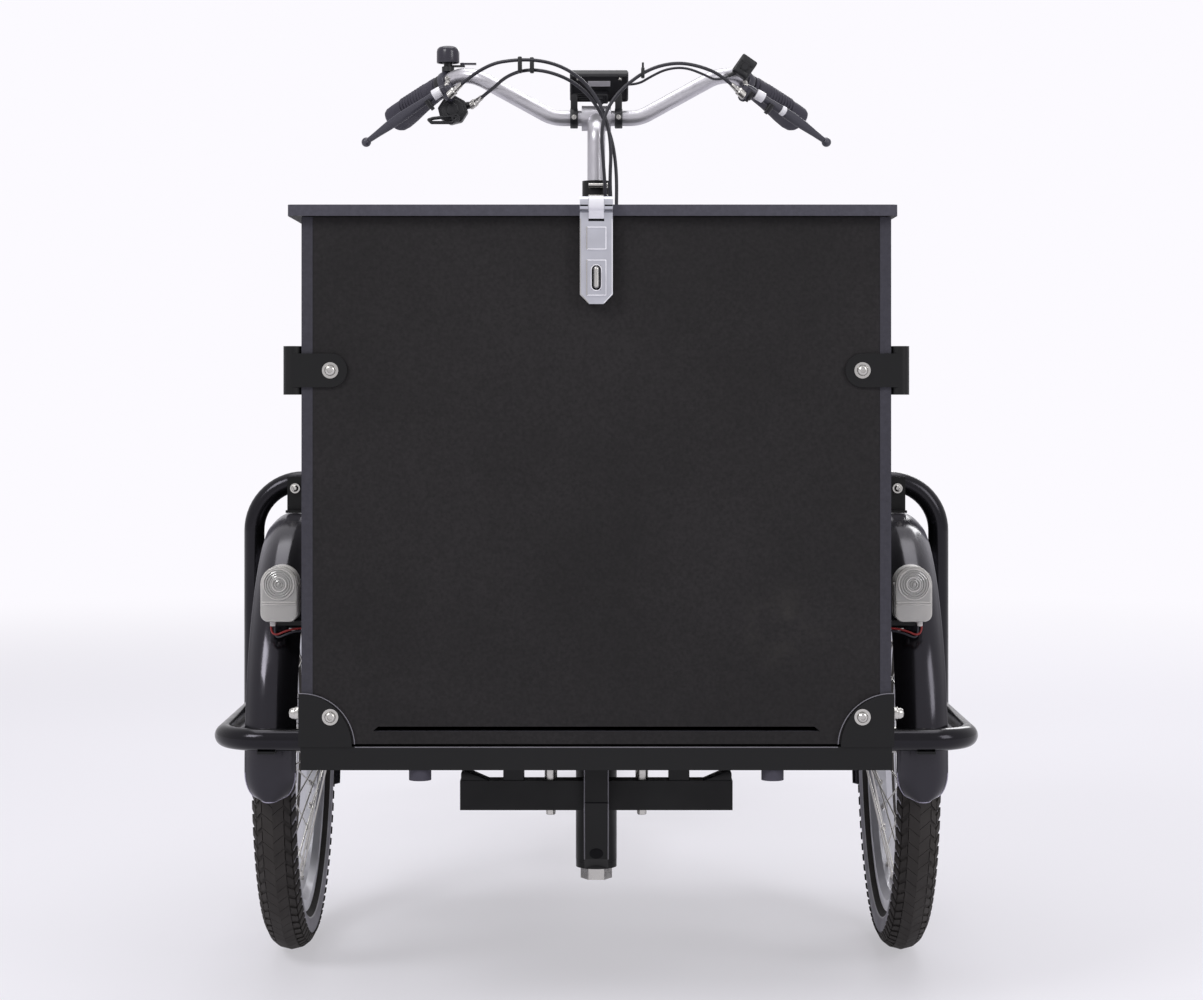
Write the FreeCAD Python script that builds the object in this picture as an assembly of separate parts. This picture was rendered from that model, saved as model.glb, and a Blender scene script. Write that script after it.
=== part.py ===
import FreeCAD, Part
import math
import os

# Cargo tricycle: a plywood box on two front wheels that steers about a kingpin on a rear frame.
# Millimetres. The front faces -Y, +Z is up, the origin is on the ground under the middle.

V = FreeCAD.Vector

# Fits
run_clearance = 0.05
hole_clearance = 0.2
seat_gap = 0.3
overrun = 5.0

# Cargo box
box_width = 630.0
box_length = 880.0
panel_thickness = 12.0
panel_height = 563.0
panel_gap = 3.0
floor_thickness = 12.0
slot_half_length = 239.0
slot_height = 5.0
slot_rise = 16.0
slot_slant = 6.0

# Base frame under the box
rail_size = 25.0
rail_wall = 2.0
rail_bottom = 281.0
rail_lip = 1.0
mid_rail_setback = 620.0
post_foot_half_width = 40.0
buffer_radius = 12.0
buffer_height = 12.0
buffer_spread = 189.0

# Lid and its hinges
lid_thickness = 12.0
lid_gap = 0.5
lid_front_overhang = 10.0
lid_left_overhang = 14.0
lid_right_overhang = 6.0
lid_corner = 6.0
hinge_spacing = 220.0
hinge_width = 60.0
hinge_knuckle = 30.0
hinge_leaf_height = 30.0
hinge_thickness = 2.0
hinge_barrel = 4.0
hinge_pin = 2.0
hinge_stand_off = 0.5
hinge_leaf_gap = 1.5

# Hasp on the lid's front edge and its staple
hasp_width = 35.0
hasp_length = 106.0
hasp_thickness = 3.0
hasp_barrel = 8.0
hasp_pin = 2.5
hasp_knuckle = 16.0
hasp_plate_depth = 40.0
hasp_leaf_gap = 0.5
hasp_chamfer = 10.0
hasp_emboss = 1.2
hasp_pad_width = 21.0
hasp_pad_height = 24.0
hasp_pad_drop = 36.0
hasp_frame_height = 38.0
hasp_slot_width = 9.7
hasp_slot_height = 26.0
hasp_slot_drop = 78.0
staple_thickness = 6.0
staple_height = 20.0
staple_reach = 28.0
staple_eye = 4.5
staple_plate = 2.5
staple_plate_height = 50.0

# Fastenings on the box corners
bolt_radius = 4.0
bolt_head_radius = 7.0
bolt_head_height = 4.4
bolt_head_round = 3.0
nut_radius = 7.5
nut_height = 6.5
cap_nut_height = 13.0
corner_plate_radius = 57.0
corner_plate_thickness = 3.0
corner_bolt_inset = 31.0
corner_bolt_rise = 32.0
socket_radius = 10.0
socket_bore = 8.0
socket_length = 52.0
socket_rise = 373.0
socket_tab_length = 49.0
socket_tab_height = 36.0

# Front wheels, and the rear wheel's own sizes
wheel_radius = 254.0
tyre_width = 53.0
bead_radius = 201.0
wheel_track = 742.0
front_axle_setback = 450.0
rear_wheel_radius = 329.0
rear_tyre_width = 50.0
rear_bead_radius = 277.5
rear_axle_setback = 1790.0
tyre_wall = 7.0
rim_half_width = 15.0
rim_inner_half_width = 12.5
rim_lip = 8.0
rim_depth = 13.0
rim_shoulder = 6.0
rim_spine_half_width = 7.0
spoke_count = 36
spoke_radius = 1.0
spoke_lift = 1.2
hub_half_width = 38.0
hub_radius = 16.0
hub_flange_radius = 23.0
hub_flange = 3.0
hub_hole_inset = 4.0
rear_hub_radius = 36.0
rear_hub_flange_radius = 46.0
axle_radius = 5.0
axle_half_gap = 50.0
axle_spacer_radius = 9.0
axle_plate = 5.0
axle_plate_width = 40.0
axle_plate_drop = 18.0
axle_nut_radius = 9.0
axle_nut_height = 8.0

# Wheel guards, mudguards and their brackets
guard_tube = 12.5
guard_wall = 2.0
guard_setback = 150.0
guard_length = 600.0
guard_bend = 50.0
hoop_clearance = 38.0
hoop_bend = 61.0
weld_depth = 0.5
fender_radius = 282.0
fender_half_width = 28.5
fender_crown = 8.0
fender_lip = 8.0
fender_wall = 2.0
fender_front_angle = -7.0
fender_rear_angle = 200.0
fender_corner = 18.0
rear_fender_radius = 355.0
rear_fender_half_width = 30.0
rear_fender_front_angle = 22.0
bracket_thickness = 3.0
bracket_width = 20.0
bracket_foot = 18.0
tab_rise = 6.0
lamp_width = 42.1
lamp_height = 63.8
lamp_depth = 36.0
lamp_round = 6.0
lamp_foot_round = 9.0
lamp_bottom = 423.0
lamp_setback = 184.0
lamp_reach = 361.3
lamp_lens_depth = 5.0
lamp_lens_margin = 3.0
lamp_lens_round = 2.0
lamp_arm = 5.0
lamp_arm_half_width = 6.0
lamp_flange_height = 34.0
lead_radius = 1.3
lead_spread = 5.0
lead_drop = 26.0

# Kingpin, yoke and head tube
kingpin_setback = 300.0
kingpin_radius = 10.0
kingpin_head_radius = 18.5
kingpin_head_bottom = 111.0
kingpin_head_height = 14.0
lug_radius = 24.0
lug_thickness = 8.0
pivot_plate = 8.0
pivot_plate_half_width = 70.0
pivot_plate_front = 92.0
pivot_plate_back = 70.0
pivot_rail_offset = 35.0
yoke_half_width = 158.0
yoke_bottom = 200.0
yoke_height = 34.0
yoke_front = 60.0
yoke_depth = 30.0
yoke_spacer_radius = 7.0
yoke_bolt_radius = 5.0
yoke_bolt_spread = 53.0
yoke_bolt_tail = 7.0
strut_size = 28.0
strut_seam = 213.0
strut_lean_reach = 14.0
strut_heel = 36.0
strut_heel_rise = 6.0
strut_toe = 20.0
head_tube_radius = 24.15
head_tube_wall = 4.15
bush_length = 26.0

# Rear frame
beam_radius = 25.0
beam_wall = 2.0
beam_height = 205.0
beam_rise_setback = 1030.0
beam_bend = 260.0
crank_setback = 1310.0
crank_height = 290.0
shell_radius = 24.0
shell_bore = 20.0
shell_half_width = 36.0
seat_tube_radius = 16.0
seat_tube_angle = 69.0
seat_tube_over_stay = 45.0
seat_post_radius = 13.6
stay_radius = 9.0
chain_stay_start = 24.0
chain_stay_back = 15.0
chain_stay_end_setback = 1700.0
seat_stay_radius = 8.0
stay_clearance = 31.0
seat_stay_spread = 32.0
bridge_radius = 6.0
dropout_half_gap = 67.5
dropout = 5.0
dropout_half_width = 24.0
dropout_reach = 95.0
dropout_rise = 58.0
rear_axle_radius = 6.0
rear_axle_nut_radius = 10.0
clamp_radius = 20.0
clamp_height = 16.0

# Drive
crank_length = 170.0
crank_inner = 66.0
crank_thickness = 12.0
crank_boss_radius = 16.0
crank_end_radius = 12.0
spindle_radius = 9.5
chain_line = 54.0
ring_teeth = 42
sprocket_teeth = 21
chain_pitch = 12.7
tooth_height = 4.5
ring_thickness = 4.0
chain_width = 7.0
chain_height = 7.5
chain_gap = 0.4
spider_radius = 30.0
driver_radius = 17.0
driver_inner = 42.0
driver_outer = 58.0
pedal_axle_radius = 6.0
pedal_inner = 84.0
pedal_length = 95.0
pedal_width = 66.0
pedal_height = 22.0
pedal_round = 5.0
motor_radius = 52.0
motor_drop = 94.0
motor_back = -10.0
motor_half_width = 40.0
gear_case = 9.0
gear_case_radius = 30.0

# Rack, battery and tail light
rack_tube = 6.0
rack_half_width = 60.0
rack_front_setback = 1545.0
rack_rear_setback = 1880.0
rack_bend = 40.0
rack_crossbar_count = 4
rack_leg_setback = 14.0
battery_half_width = 58.0
battery_height = 72.0
battery_length = 320.0
battery_round = 14.0
tail_half_width = 34.0
tail_depth = 16.0
tail_height = 26.0
tail_round = 5.0

# Saddle
saddle_clearance = 77.8
saddle_length = 265.0
saddle_nose_ahead = 150.0
saddle_half_width = 105.0
saddle_pad = 62.0
rail_rod = 3.5
rail_spread = 22.0
rail_length = 120.0
rail_drop = 26.0
rail_hook = 18.0
saddle_clamp_size = 30.0

# Post, stem and handlebar
post_setback = 55.0
post_radius = 15.9
post_wall = 3.1
post_top_drop = 94.0
collar_radius = 20.0
collar_height = 21.0
post_bracket_half_width = 8.0
post_bracket_height = 30.0
post_bracket_low = 430.0
post_bracket_drop = 194.0
stem_radius = 12.7
stem_depth = 120.0
stem_knee_drop = 22.0
stem_bend = 24.0
stem_clamp_radius = 18.0
stem_clamp_half_width = 21.0
bar_radius = 11.1
bar_wall = 2.0
bar_setback = 980.0
bar_height = 1078.0
bar_flat = 62.0
bar_rise_reach = 188.0
bar_rise = 70.0
bar_rise_back = 10.0
bar_end_reach = 305.0
bar_end_back = 120.0
bar_end_height = 12.0
bar_bend = 52.0
grip_radius = 16.5
grip_length = 112.0

# Controls on the handlebar
perch_along = 40.0
perch_radius = 17.0
perch_width = 12.0
perch_arm = 6.0
perch_link = 4.0
pivot_reach = 215.0
pivot_ahead = 15.0
pivot_height = 37.0
pivot_boss = 8.0
pivot_boss_height = 10.0
pivot_pin = 2.5
lever_radius = 4.5
lever_ball = 7.0
lever_mid_reach = 272.0
lever_mid_back = 4.0
lever_mid_height = 6.0
lever_tip_reach = 335.0
lever_tip_back = 45.0
lever_tip_height = -30.0
lever_bend = 150.0
shifter_along = 51.0
shifter_ring = 15.5
shifter_ring_width = 8.0
shifter_inner = 182.0
shifter_outer = 228.0
shifter_front = 3.0
shifter_depth = 27.0
shifter_bottom = -8.0
shifter_height = 36.0
shifter_round = 6.0
shifter_link = 6.0
thumb_boss = 9.0
thumb_thickness = 5.0
thumb_length = 30.0
thumb_height = 9.0
thumb_width = 12.0
thumb_pin = 3.0
bell_radius = 16.0
bell_height = 24.0
bell_base = 84.0
bell_wall = 1.5
bell_stalk = 5.0
bell_round_share = 0.75
bell_lever_length = 20.0
bell_lever_width = 7.0
bell_lever_thickness = 3.0
switch_width = 25.0
switch_height = 30.0
switch_depth = 20.0
switch_round = 4.0
switch_turn = 35.0
switch_centre_reach = 213.0
switch_centre_back = -6.0
switch_centre_height = 73.0
button_radius = 5.0
button_proud = 2.0
button_seat = 3.0
button_travel = 1.0
display_width = 84.0
display_height = 48.0
display_depth = 14.0
display_round = 5.0
display_height_over_bar = 40.0
display_shift = 4.0
display_ahead = 6.0
display_rise = 46.0
display_clamp_spread = 32.0
display_clamp_radius = 14.5
display_clamp_width = 11.0
display_arm_depth = 12.0

# Routes of the cables, from the middle of the handlebar: right, back and up
brake_cable_left = [
    (-200, -36, 38), (-162, -62, 69), (-106, -72, 77), (-60, -76, 71), (-22, -78, 50), (4, -80, 17),
    (17, -82, -19), (21, -82, -55), (19, -80, -94), (21, -77, -135), (20, -76, -180)]
shift_cable = [
    (-172, 8, 26), (-150, -14, 40), (-128, -42, 56), (-100, -62, 63), (-70, -68, 60), (-38, -70, 48),
    (-12, -71, 28), (8, -72, -2), (22, -72, -35), (28, -73, -75), (29, -75, -120), (27, -76, -180)]
brake_cable_right = [
    (200, -36, 38), (178, -51, 56), (150, -66, 66), (120, -75, 71), (92, -80, 67), (68, -84, 57),
    (46, -87, 41), (28, -88, 24), (13, -88, 0), (7, -88, -27), (9, -87, -60), (12, -84, -100),
    (14, -78, -140), (13, -76, -180)]
display_lead = [
    (46, -8, 48), (60, -8, 48), (78, -28, 57), (100, -44, 66), (126, -46, 68), (152, -34, 60),
    (174, -19, 51), (190, -10, 60)]
cable_radius = 2.5
lead_wire_radius = 1.8
adjuster_radius = 4.5
adjuster_length = 14.0

# Places worked out from the sizes
box_half = box_width / 2
inner_half = box_half - panel_thickness
rail_top = rail_bottom + rail_size
rail_mid = rail_bottom + rail_size / 2
panel_bottom = rail_top + panel_gap
panel_top = panel_bottom + panel_height
floor_top = rail_top + floor_thickness
lid_bottom = panel_top + lid_gap
lid_top = lid_bottom + lid_thickness
length_behind = rear_axle_setback + rear_fender_radius
front_face = (staple_reach - length_behind) / 2
rear_face = front_face + box_length
lid_front = front_face - lid_front_overhang
hinge_y = rear_face + hinge_barrel + hinge_stand_off
hinge_z = (panel_top + lid_bottom) / 2
hasp_y = lid_front - hasp_barrel - seat_gap
hasp_z = lid_top
wheel_x = wheel_track / 2
axle_y = front_face + front_axle_setback
axle_z = wheel_radius
rear_axle_y = front_face + rear_axle_setback
rear_axle_z = rear_wheel_radius
king_y = front_face + kingpin_setback
crank_y = front_face + crank_setback
post_y = rear_face + post_setback
bar_y = front_face + bar_setback
bar_centre = V(0, bar_y, bar_height)
bar_corner = V(bar_rise_reach, bar_rise_back, bar_rise)
bar_end = V(bar_end_reach, bar_end_back, bar_end_height)
grip_direction = (bar_end - bar_corner).normalize()
pivot_plate_bottom = rail_bottom - pivot_plate
lug_bottom = kingpin_head_bottom + kingpin_head_height
lug_top = lug_bottom + lug_thickness
seat_direction = V(0, math.cos(math.radians(seat_tube_angle)), math.sin(math.radians(seat_tube_angle)))
crank_centre = V(0, crank_y, crank_height)
guard_reach = wheel_x + axle_half_gap + axle_plate / 2
hoop_height = axle_z + fender_radius + hoop_clearance
seat_stay_height = rear_axle_z + rear_fender_radius + stay_clearance
seat_tube_top = seat_stay_height + seat_tube_over_stay
rack_height = seat_stay_height + seat_stay_radius + rack_tube + hole_clearance
saddle_height = rack_height + rack_tube + battery_height + saddle_clearance
post_top = bar_height - post_top_drop
post_bracket_high = post_top - post_bracket_drop
stem_knee = bar_height - stem_knee_drop
ring_radius = chain_pitch / 2 / math.sin(math.pi / ring_teeth)
sprocket_radius = chain_pitch / 2 / math.sin(math.pi / sprocket_teeth)


def block(x0, x1, y0, y1, z0, z1):
    return Part.makeBox(x1 - x0, y1 - y0, z1 - z0, V(x0, y0, z0))


def rounded_block(x0, x1, y0, y1, z0, z1, radius):
    solid = block(x0, x1, y0, y1, z0, z1)
    return solid.makeFillet(radius, solid.Edges)


def rod(start, end, radius):
    along = end - start
    return Part.makeCylinder(radius, along.Length, start, along)


def ring(start, end, outer, inner):
    along = (end - start).normalize() * overrun
    return rod(start, end, outer).cut(rod(start - along, end + along, inner))


def prism(points, along):
    return Part.Face(Part.makePolygon(points + points[:1])).extrude(along)


def weld(shapes):
    return shapes[0].multiFuse(shapes[1:]).removeSplitter()


def mirrored(shape):
    return shape.mirror(V(0, 0, 0), V(1, 0, 0))


def pair(shape):
    return [shape, mirrored(shape)]


def hexagon(centre, along, radius):
    across = V(0, 0, radius)
    if abs(along.z) > abs(along.x) + abs(along.y):
        across = V(radius, 0, 0)
    points = []
    for corner in range(6):
        turn = FreeCAD.Rotation(along, corner * 60)
        points.append(centre + turn.multVec(across))
    return prism(points, along)


def path_wire(points, bends):
    edges = []
    start = points[0]
    for before, here, after, bend in zip(points, points[1:], points[2:], bends):
        back = (before - here).normalize()
        ahead = (after - here).normalize()
        half_turn = back.getAngle(ahead) / 2
        middle = (back + ahead).normalize()
        first = here + back * (bend / math.tan(half_turn))
        last = here + ahead * (bend / math.tan(half_turn))
        top = here + middle * (bend / math.sin(half_turn) - bend)
        edges.append(Part.LineSegment(start, first).toShape())
        edges.append(Part.Arc(first, top, last).toShape())
        start = last
    edges.append(Part.LineSegment(start, points[-1]).toShape())
    return Part.Wire(edges)


def bent_rod(points, bend, radius):
    wire = path_wire(points, [bend] * (len(points) - 2))
    section = Part.Wire([Part.Circle(points[0], points[1] - points[0], radius).toShape()])
    return wire.makePipeShell([section], True, False)


def bent_tube(points, bend, radius, wall):
    return bent_rod(points, bend, radius).cut(bent_rod(points, bend, radius - wall))


def revolved(points, centre):
    """A ring about the X direction, from points given as (along X, radius)."""
    corners = [V(centre.x + across, centre.y, centre.z + radius) for across, radius in points]
    face = Part.Face(Part.makePolygon(corners + corners[:1]))
    return face.revolve(centre, V(1, 0, 0), 360)


def button_bolt(seat, outward, grip):
    """A round-headed bolt whose head sits on a face, with a nut past its grip."""
    head = rod(seat, seat + outward * bolt_head_height, bolt_head_radius)
    crown = [edge for edge in head.Edges if edge.CenterOfMass.distanceToPoint(seat) > bolt_head_height / 2
             and edge.Length > bolt_head_radius * math.pi]
    head = head.makeFillet(bolt_head_round, crown)
    shank = rod(seat, seat - outward * (grip + nut_height), bolt_radius)
    nut = hexagon(seat - outward * grip, outward * -nut_height, nut_radius)
    return weld([head, shank, nut])


def cap_nut_bolt(seat, outward, grip):
    """A bolt from inside the box whose domed nut stands out of the plate."""
    nut = hexagon(seat, outward * nut_height, nut_radius)
    dome_length = cap_nut_height - nut_height
    dome = rod(seat, seat + outward * (nut_height + dome_length), nut_radius - bolt_head_round / 2)
    rim = [edge for edge in dome.Edges if edge.CenterOfMass.distanceToPoint(seat) > nut_height
           and edge.Length > nut_radius * math.pi]
    dome = dome.makeFillet(bolt_head_round, rim)
    shank = rod(seat, seat - outward * grip, bolt_radius)
    head = rod(seat - outward * grip, seat - outward * (grip + bolt_head_height), bolt_head_radius)
    return weld([nut, dome, shank, head])


def bolt_hole(seat, outward, depth):
    return rod(seat + outward * overrun, seat - outward * depth, bolt_radius + hole_clearance)


corner_bolt_seat = V(box_half - corner_bolt_inset, front_face - corner_plate_thickness, rail_top + corner_bolt_rise)
corner_nut_seat = V(box_half + corner_plate_thickness, front_face + corner_bolt_inset, rail_top + corner_bolt_rise)
socket_bottom = panel_bottom + socket_rise
socket_middle = socket_bottom + socket_length / 2
socket_bolt_seat = V(box_half - corner_bolt_inset, front_face - corner_plate_thickness, socket_middle)
bolt_grip = corner_plate_thickness + panel_thickness
ahead = V(0, -1, 0)
outwards = V(1, 0, 0)


def drilled(shape, seat, outward):
    hole = bolt_hole(seat, outward, bolt_grip + overrun)
    return shape.cut(hole).cut(mirrored(hole))


def front_panel():
    panel = block(-inner_half + seat_gap, inner_half - seat_gap, front_face, front_face + panel_thickness,
                  panel_bottom, panel_top)
    low = panel_bottom + slot_rise - slot_height / 2
    high = low + slot_height
    corners = [(-slot_half_length, low), (slot_half_length, low),
               (slot_half_length - slot_slant, high), (-slot_half_length + slot_slant, high)]
    slot = prism([V(x, front_face - overrun, z) for x, z in corners], V(0, panel_thickness + 2 * overrun, 0))
    panel = panel.cut(slot)
    for seat in (corner_bolt_seat, socket_bolt_seat):
        panel = drilled(panel, seat, ahead)
    return panel


def box_panels():
    side = block(inner_half, box_half, front_face, rear_face, panel_bottom, panel_top)
    side = side.cut(bolt_hole(corner_nut_seat, outwards, bolt_grip + overrun))
    rear = block(-inner_half + seat_gap, inner_half - seat_gap, rear_face - panel_thickness, rear_face,
                 panel_bottom, panel_top)
    return pair(side) + [rear]


def floor_panel():
    return block(-inner_half + seat_gap, inner_half - seat_gap, front_face + panel_thickness + seat_gap,
                 rear_face - panel_thickness - seat_gap, rail_top, floor_top)


def square_tube(x0, x1, y0, y1, along_x):
    outside = block(x0, x1, y0, y1, rail_bottom, rail_top)
    low = rail_bottom + rail_wall
    high = rail_top - rail_wall
    if along_x:
        return outside.cut(block(x0 - overrun, x1 + overrun, y0 + rail_wall, y1 - rail_wall, low, high))
    return outside.cut(block(x0 + rail_wall, x1 - rail_wall, y0 - overrun, y1 + overrun, low, high))


def base_frame():
    outer = box_half + rail_lip
    inner = outer - rail_size
    front = front_face - rail_lip
    rear = rear_face + rail_lip
    rails = [square_tube(-outer, outer, front, front + rail_size, True),
             square_tube(-outer, outer, rear - rail_size, rear, True)]
    rails += pair(square_tube(inner, outer, front + rail_size, rear - rail_size, False))
    for y in (king_y - pivot_rail_offset - rail_size, king_y + pivot_rail_offset, front_face + mid_rail_setback):
        rails.append(square_tube(-inner, inner, y, y + rail_size, True))
    foot = square_tube(-post_foot_half_width, post_foot_half_width, rear,
                       post_y + post_radius + overrun, True)
    return rails + [foot]


def rubber_buffers():
    y = front_face + rail_size / 2
    foot = rod(V(buffer_spread, y, rail_bottom - buffer_height), V(buffer_spread, y, rail_bottom), buffer_radius)
    return pair(foot)


def lid():
    board = block(-box_half - lid_left_overhang, box_half + lid_right_overhang, lid_front, rear_face,
                  lid_bottom, lid_top)
    upright = [edge for edge in board.Edges if edge.BoundBox.ZLength > lid_thickness / 2]
    return board.makeFillet(lid_corner, upright)


def hinge_places():
    return (-hinge_spacing, 0, hinge_spacing)


def box_hinge_leaf():
    leaves = []
    for x in hinge_places():
        half = hinge_width / 2
        knuckle_half = hinge_knuckle / 2
        leaf_top = hinge_z - hinge_barrel - hinge_leaf_gap
        back = rear_face + hinge_thickness
        pieces = [block(x - half, x + half, rear_face, back, panel_top - hinge_leaf_height, leaf_top),
                  rod(V(x - half, hinge_y, hinge_z), V(x + half, hinge_y, hinge_z), hinge_pin)]
        for x0, x1 in ((x - half, x - knuckle_half - seat_gap), (x + knuckle_half + seat_gap, x + half)):
            pieces.append(rod(V(x0, hinge_y, hinge_z), V(x1, hinge_y, hinge_z), hinge_barrel))
            pieces.append(block(x0, x1, rear_face + hinge_stand_off, back, leaf_top, hinge_z))
        leaves.append(weld(pieces))
    return leaves


def lid_hinge_leaf():
    leaves = []
    for x in hinge_places():
        half = hinge_width / 2
        knuckle_half = hinge_knuckle / 2
        leaf_bottom = hinge_z + hinge_barrel + hinge_leaf_gap
        back = rear_face + hinge_thickness
        leaf = block(x - half, x + half, rear_face, back, leaf_bottom, lid_top)
        strap = block(x - knuckle_half, x + knuckle_half, rear_face + hinge_stand_off, back, hinge_z, leaf_bottom)
        low = V(x - knuckle_half, hinge_y, hinge_z)
        high = V(x + knuckle_half, hinge_y, hinge_z)
        knuckle = weld([leaf, strap, rod(low, high, hinge_barrel)])
        leaves.append(knuckle.cut(rod(low - outwards * overrun, high + outwards * overrun,
                                      hinge_pin + run_clearance)))
    return leaves


def hasp_plate():
    half = hasp_width / 2
    inner = hasp_knuckle / 2 + seat_gap
    plate = block(-half, half, lid_front, lid_front + hasp_plate_depth, lid_top, lid_top + hasp_thickness)
    pieces = [plate, rod(V(-half, hasp_y, hasp_z), V(half, hasp_y, hasp_z), hasp_pin)]
    for x0, x1 in ((-half, -inner), (inner, half)):
        pieces.append(rod(V(x0, hasp_y, hasp_z), V(x1, hasp_y, hasp_z), hasp_barrel))
        pieces.append(block(x0, x1, hasp_y, lid_front, lid_top, lid_top + hasp_thickness))
    return weld(pieces)


def hasp_leaf():
    half = hasp_width / 2
    back = hasp_y + hasp_barrel
    front = back - hasp_thickness
    top = hasp_z - hasp_barrel - hasp_leaf_gap
    bottom = hasp_z - hasp_length
    outline = [(-half, top), (-half, bottom + hasp_chamfer), (-half + hasp_chamfer, bottom),
               (half - hasp_chamfer, bottom), (half, bottom + hasp_chamfer), (half, top)]
    leaf = prism([V(x, front, z) for x, z in outline], V(0, hasp_thickness, 0))
    knuckle_half = hasp_knuckle / 2
    low = V(-knuckle_half, hasp_y, hasp_z)
    high = V(knuckle_half, hasp_y, hasp_z)
    strap = block(-knuckle_half, knuckle_half, front, back, top, hasp_z)
    raised = []
    for height, drop in ((hasp_pad_height, hasp_pad_drop), (hasp_frame_height, hasp_slot_drop)):
        middle = hasp_z - drop
        raised.append(block(-hasp_pad_width / 2, hasp_pad_width / 2, front - hasp_emboss, front,
                            middle - height / 2, middle + height / 2))
    slot_middle = hasp_z - hasp_slot_drop
    slot = block(-hasp_slot_width / 2, hasp_slot_width / 2, front - overrun, back + overrun,
                 slot_middle - hasp_slot_height / 2, slot_middle + hasp_slot_height / 2)
    bore = rod(low - outwards * overrun, high + outwards * overrun, hasp_pin + run_clearance)
    return weld([leaf, strap, rod(low, high, hasp_barrel)] + raised).cut(slot).cut(bore)


def hasp_staple():
    middle = hasp_z - hasp_slot_drop
    plate_half = staple_plate_height / 2
    plate = block(-hasp_width / 2, hasp_width / 2, front_face - staple_plate, front_face,
                  middle - plate_half, middle + plate_half)
    half = staple_thickness / 2
    nose = staple_height / 2
    tip = front_face - staple_reach + nose
    tongue = block(-half, half, tip, front_face - staple_plate, middle - nose, middle + nose)
    round_tip = rod(V(-half, tip, middle), V(half, tip, middle), nose)
    eye = rod(V(-half - overrun, tip, middle), V(half + overrun, tip, middle), staple_eye)
    return weld([plate, tongue, round_tip]).cut(eye)


def corner_plates():
    outer = box_half + corner_plate_thickness
    front = front_face - corner_plate_thickness

    def quarter(centre, across):
        first = centre + across * corner_plate_radius
        last = centre + V(0, 0, corner_plate_radius)
        middle = centre + (across + V(0, 0, 1)).normalize() * corner_plate_radius
        edges = [Part.LineSegment(centre, first).toShape(), Part.Arc(first, middle, last).toShape(),
                 Part.LineSegment(last, centre).toShape()]
        return Part.Face(Part.Wire(edges))

    corner = V(outer, front, rail_top)
    face = quarter(corner, V(-1, 0, 0)).extrude(V(0, corner_plate_thickness, 0))
    side = quarter(corner, V(0, 1, 0)).extrude(V(-corner_plate_thickness, 0, 0))
    plate = weld([face, side])
    plate = plate.cut(bolt_hole(corner_bolt_seat, ahead, bolt_grip))
    return pair(plate.cut(bolt_hole(corner_nut_seat, outwards, bolt_grip)))


def pole_sockets():
    x = box_half + socket_radius
    y = front_face - corner_plate_thickness + socket_radius
    low = V(x, y, socket_bottom)
    high = V(x, y, socket_bottom + socket_length)
    half = socket_tab_height / 2
    tab_end = box_half - socket_tab_length + half
    tab_front = front_face - corner_plate_thickness
    tab = block(tab_end, x, tab_front, front_face, socket_middle - half, socket_middle + half)
    nose = rod(V(tab_end, tab_front, socket_middle), V(tab_end, front_face, socket_middle), half)
    socket = weld([rod(low, high, socket_radius), tab, nose])
    lift = V(0, 0, overrun)
    socket = socket.cut(rod(low - lift, high + lift, socket_bore))
    return pair(socket.cut(bolt_hole(socket_bolt_seat, ahead, bolt_grip)))


def carriage_bolts():
    bolts = pair(button_bolt(corner_bolt_seat, ahead, bolt_grip))
    bolts += pair(button_bolt(socket_bolt_seat, ahead, bolt_grip))
    bolts += pair(cap_nut_bolt(corner_nut_seat, outwards, bolt_grip))
    y = king_y - yoke_front + yoke_depth / 2
    foot = V(yoke_bolt_spread, y, yoke_bottom - yoke_bolt_tail)
    bolts += pair(rod(foot, V(yoke_bolt_spread, y, rail_bottom), yoke_bolt_radius))
    return bolts


def tyre(centre, radius, width, bead):
    tube = width / 2
    ring_centre = radius - tube
    profile = Part.Wire([Part.Circle(centre + V(0, 0, ring_centre), V(0, 1, 0), tube).toShape()])
    carcass = Part.Face(profile).revolve(centre, V(1, 0, 0), 360)
    bore = Part.Wire([Part.Circle(centre + V(0, 0, ring_centre), V(0, 1, 0), tube - tyre_wall).toShape()])
    carcass = carcass.cut(Part.Face(bore).revolve(centre, V(1, 0, 0), 360))
    outer = rim_half_width + hole_clearance
    inner = rim_inner_half_width - hole_clearance
    mouth = rim_spine_half_width
    seat = bead + hole_clearance
    lip = bead + rim_lip + hole_clearance
    low = bead - rim_depth
    mouth_top = bead + 2 * rim_lip
    rim_room = [(-outer, low), (-outer, lip), (-inner, lip), (-inner, seat), (-mouth, seat), (-mouth, mouth_top),
                (mouth, mouth_top), (mouth, seat), (inner, seat), (inner, lip), (outer, lip), (outer, low)]
    return carcass.cut(revolved(rim_room, centre))


def rim(centre, bead):
    lip = bead + rim_lip
    shoulder = bead - rim_shoulder
    spine = bead - rim_depth
    outline = [(-rim_half_width, lip), (-rim_inner_half_width, lip), (-rim_inner_half_width, bead),
               (rim_inner_half_width, bead), (rim_inner_half_width, lip), (rim_half_width, lip),
               (rim_half_width, shoulder), (rim_spine_half_width, spine), (-rim_spine_half_width, spine),
               (-rim_half_width, shoulder)]
    return revolved(outline, centre)


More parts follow.
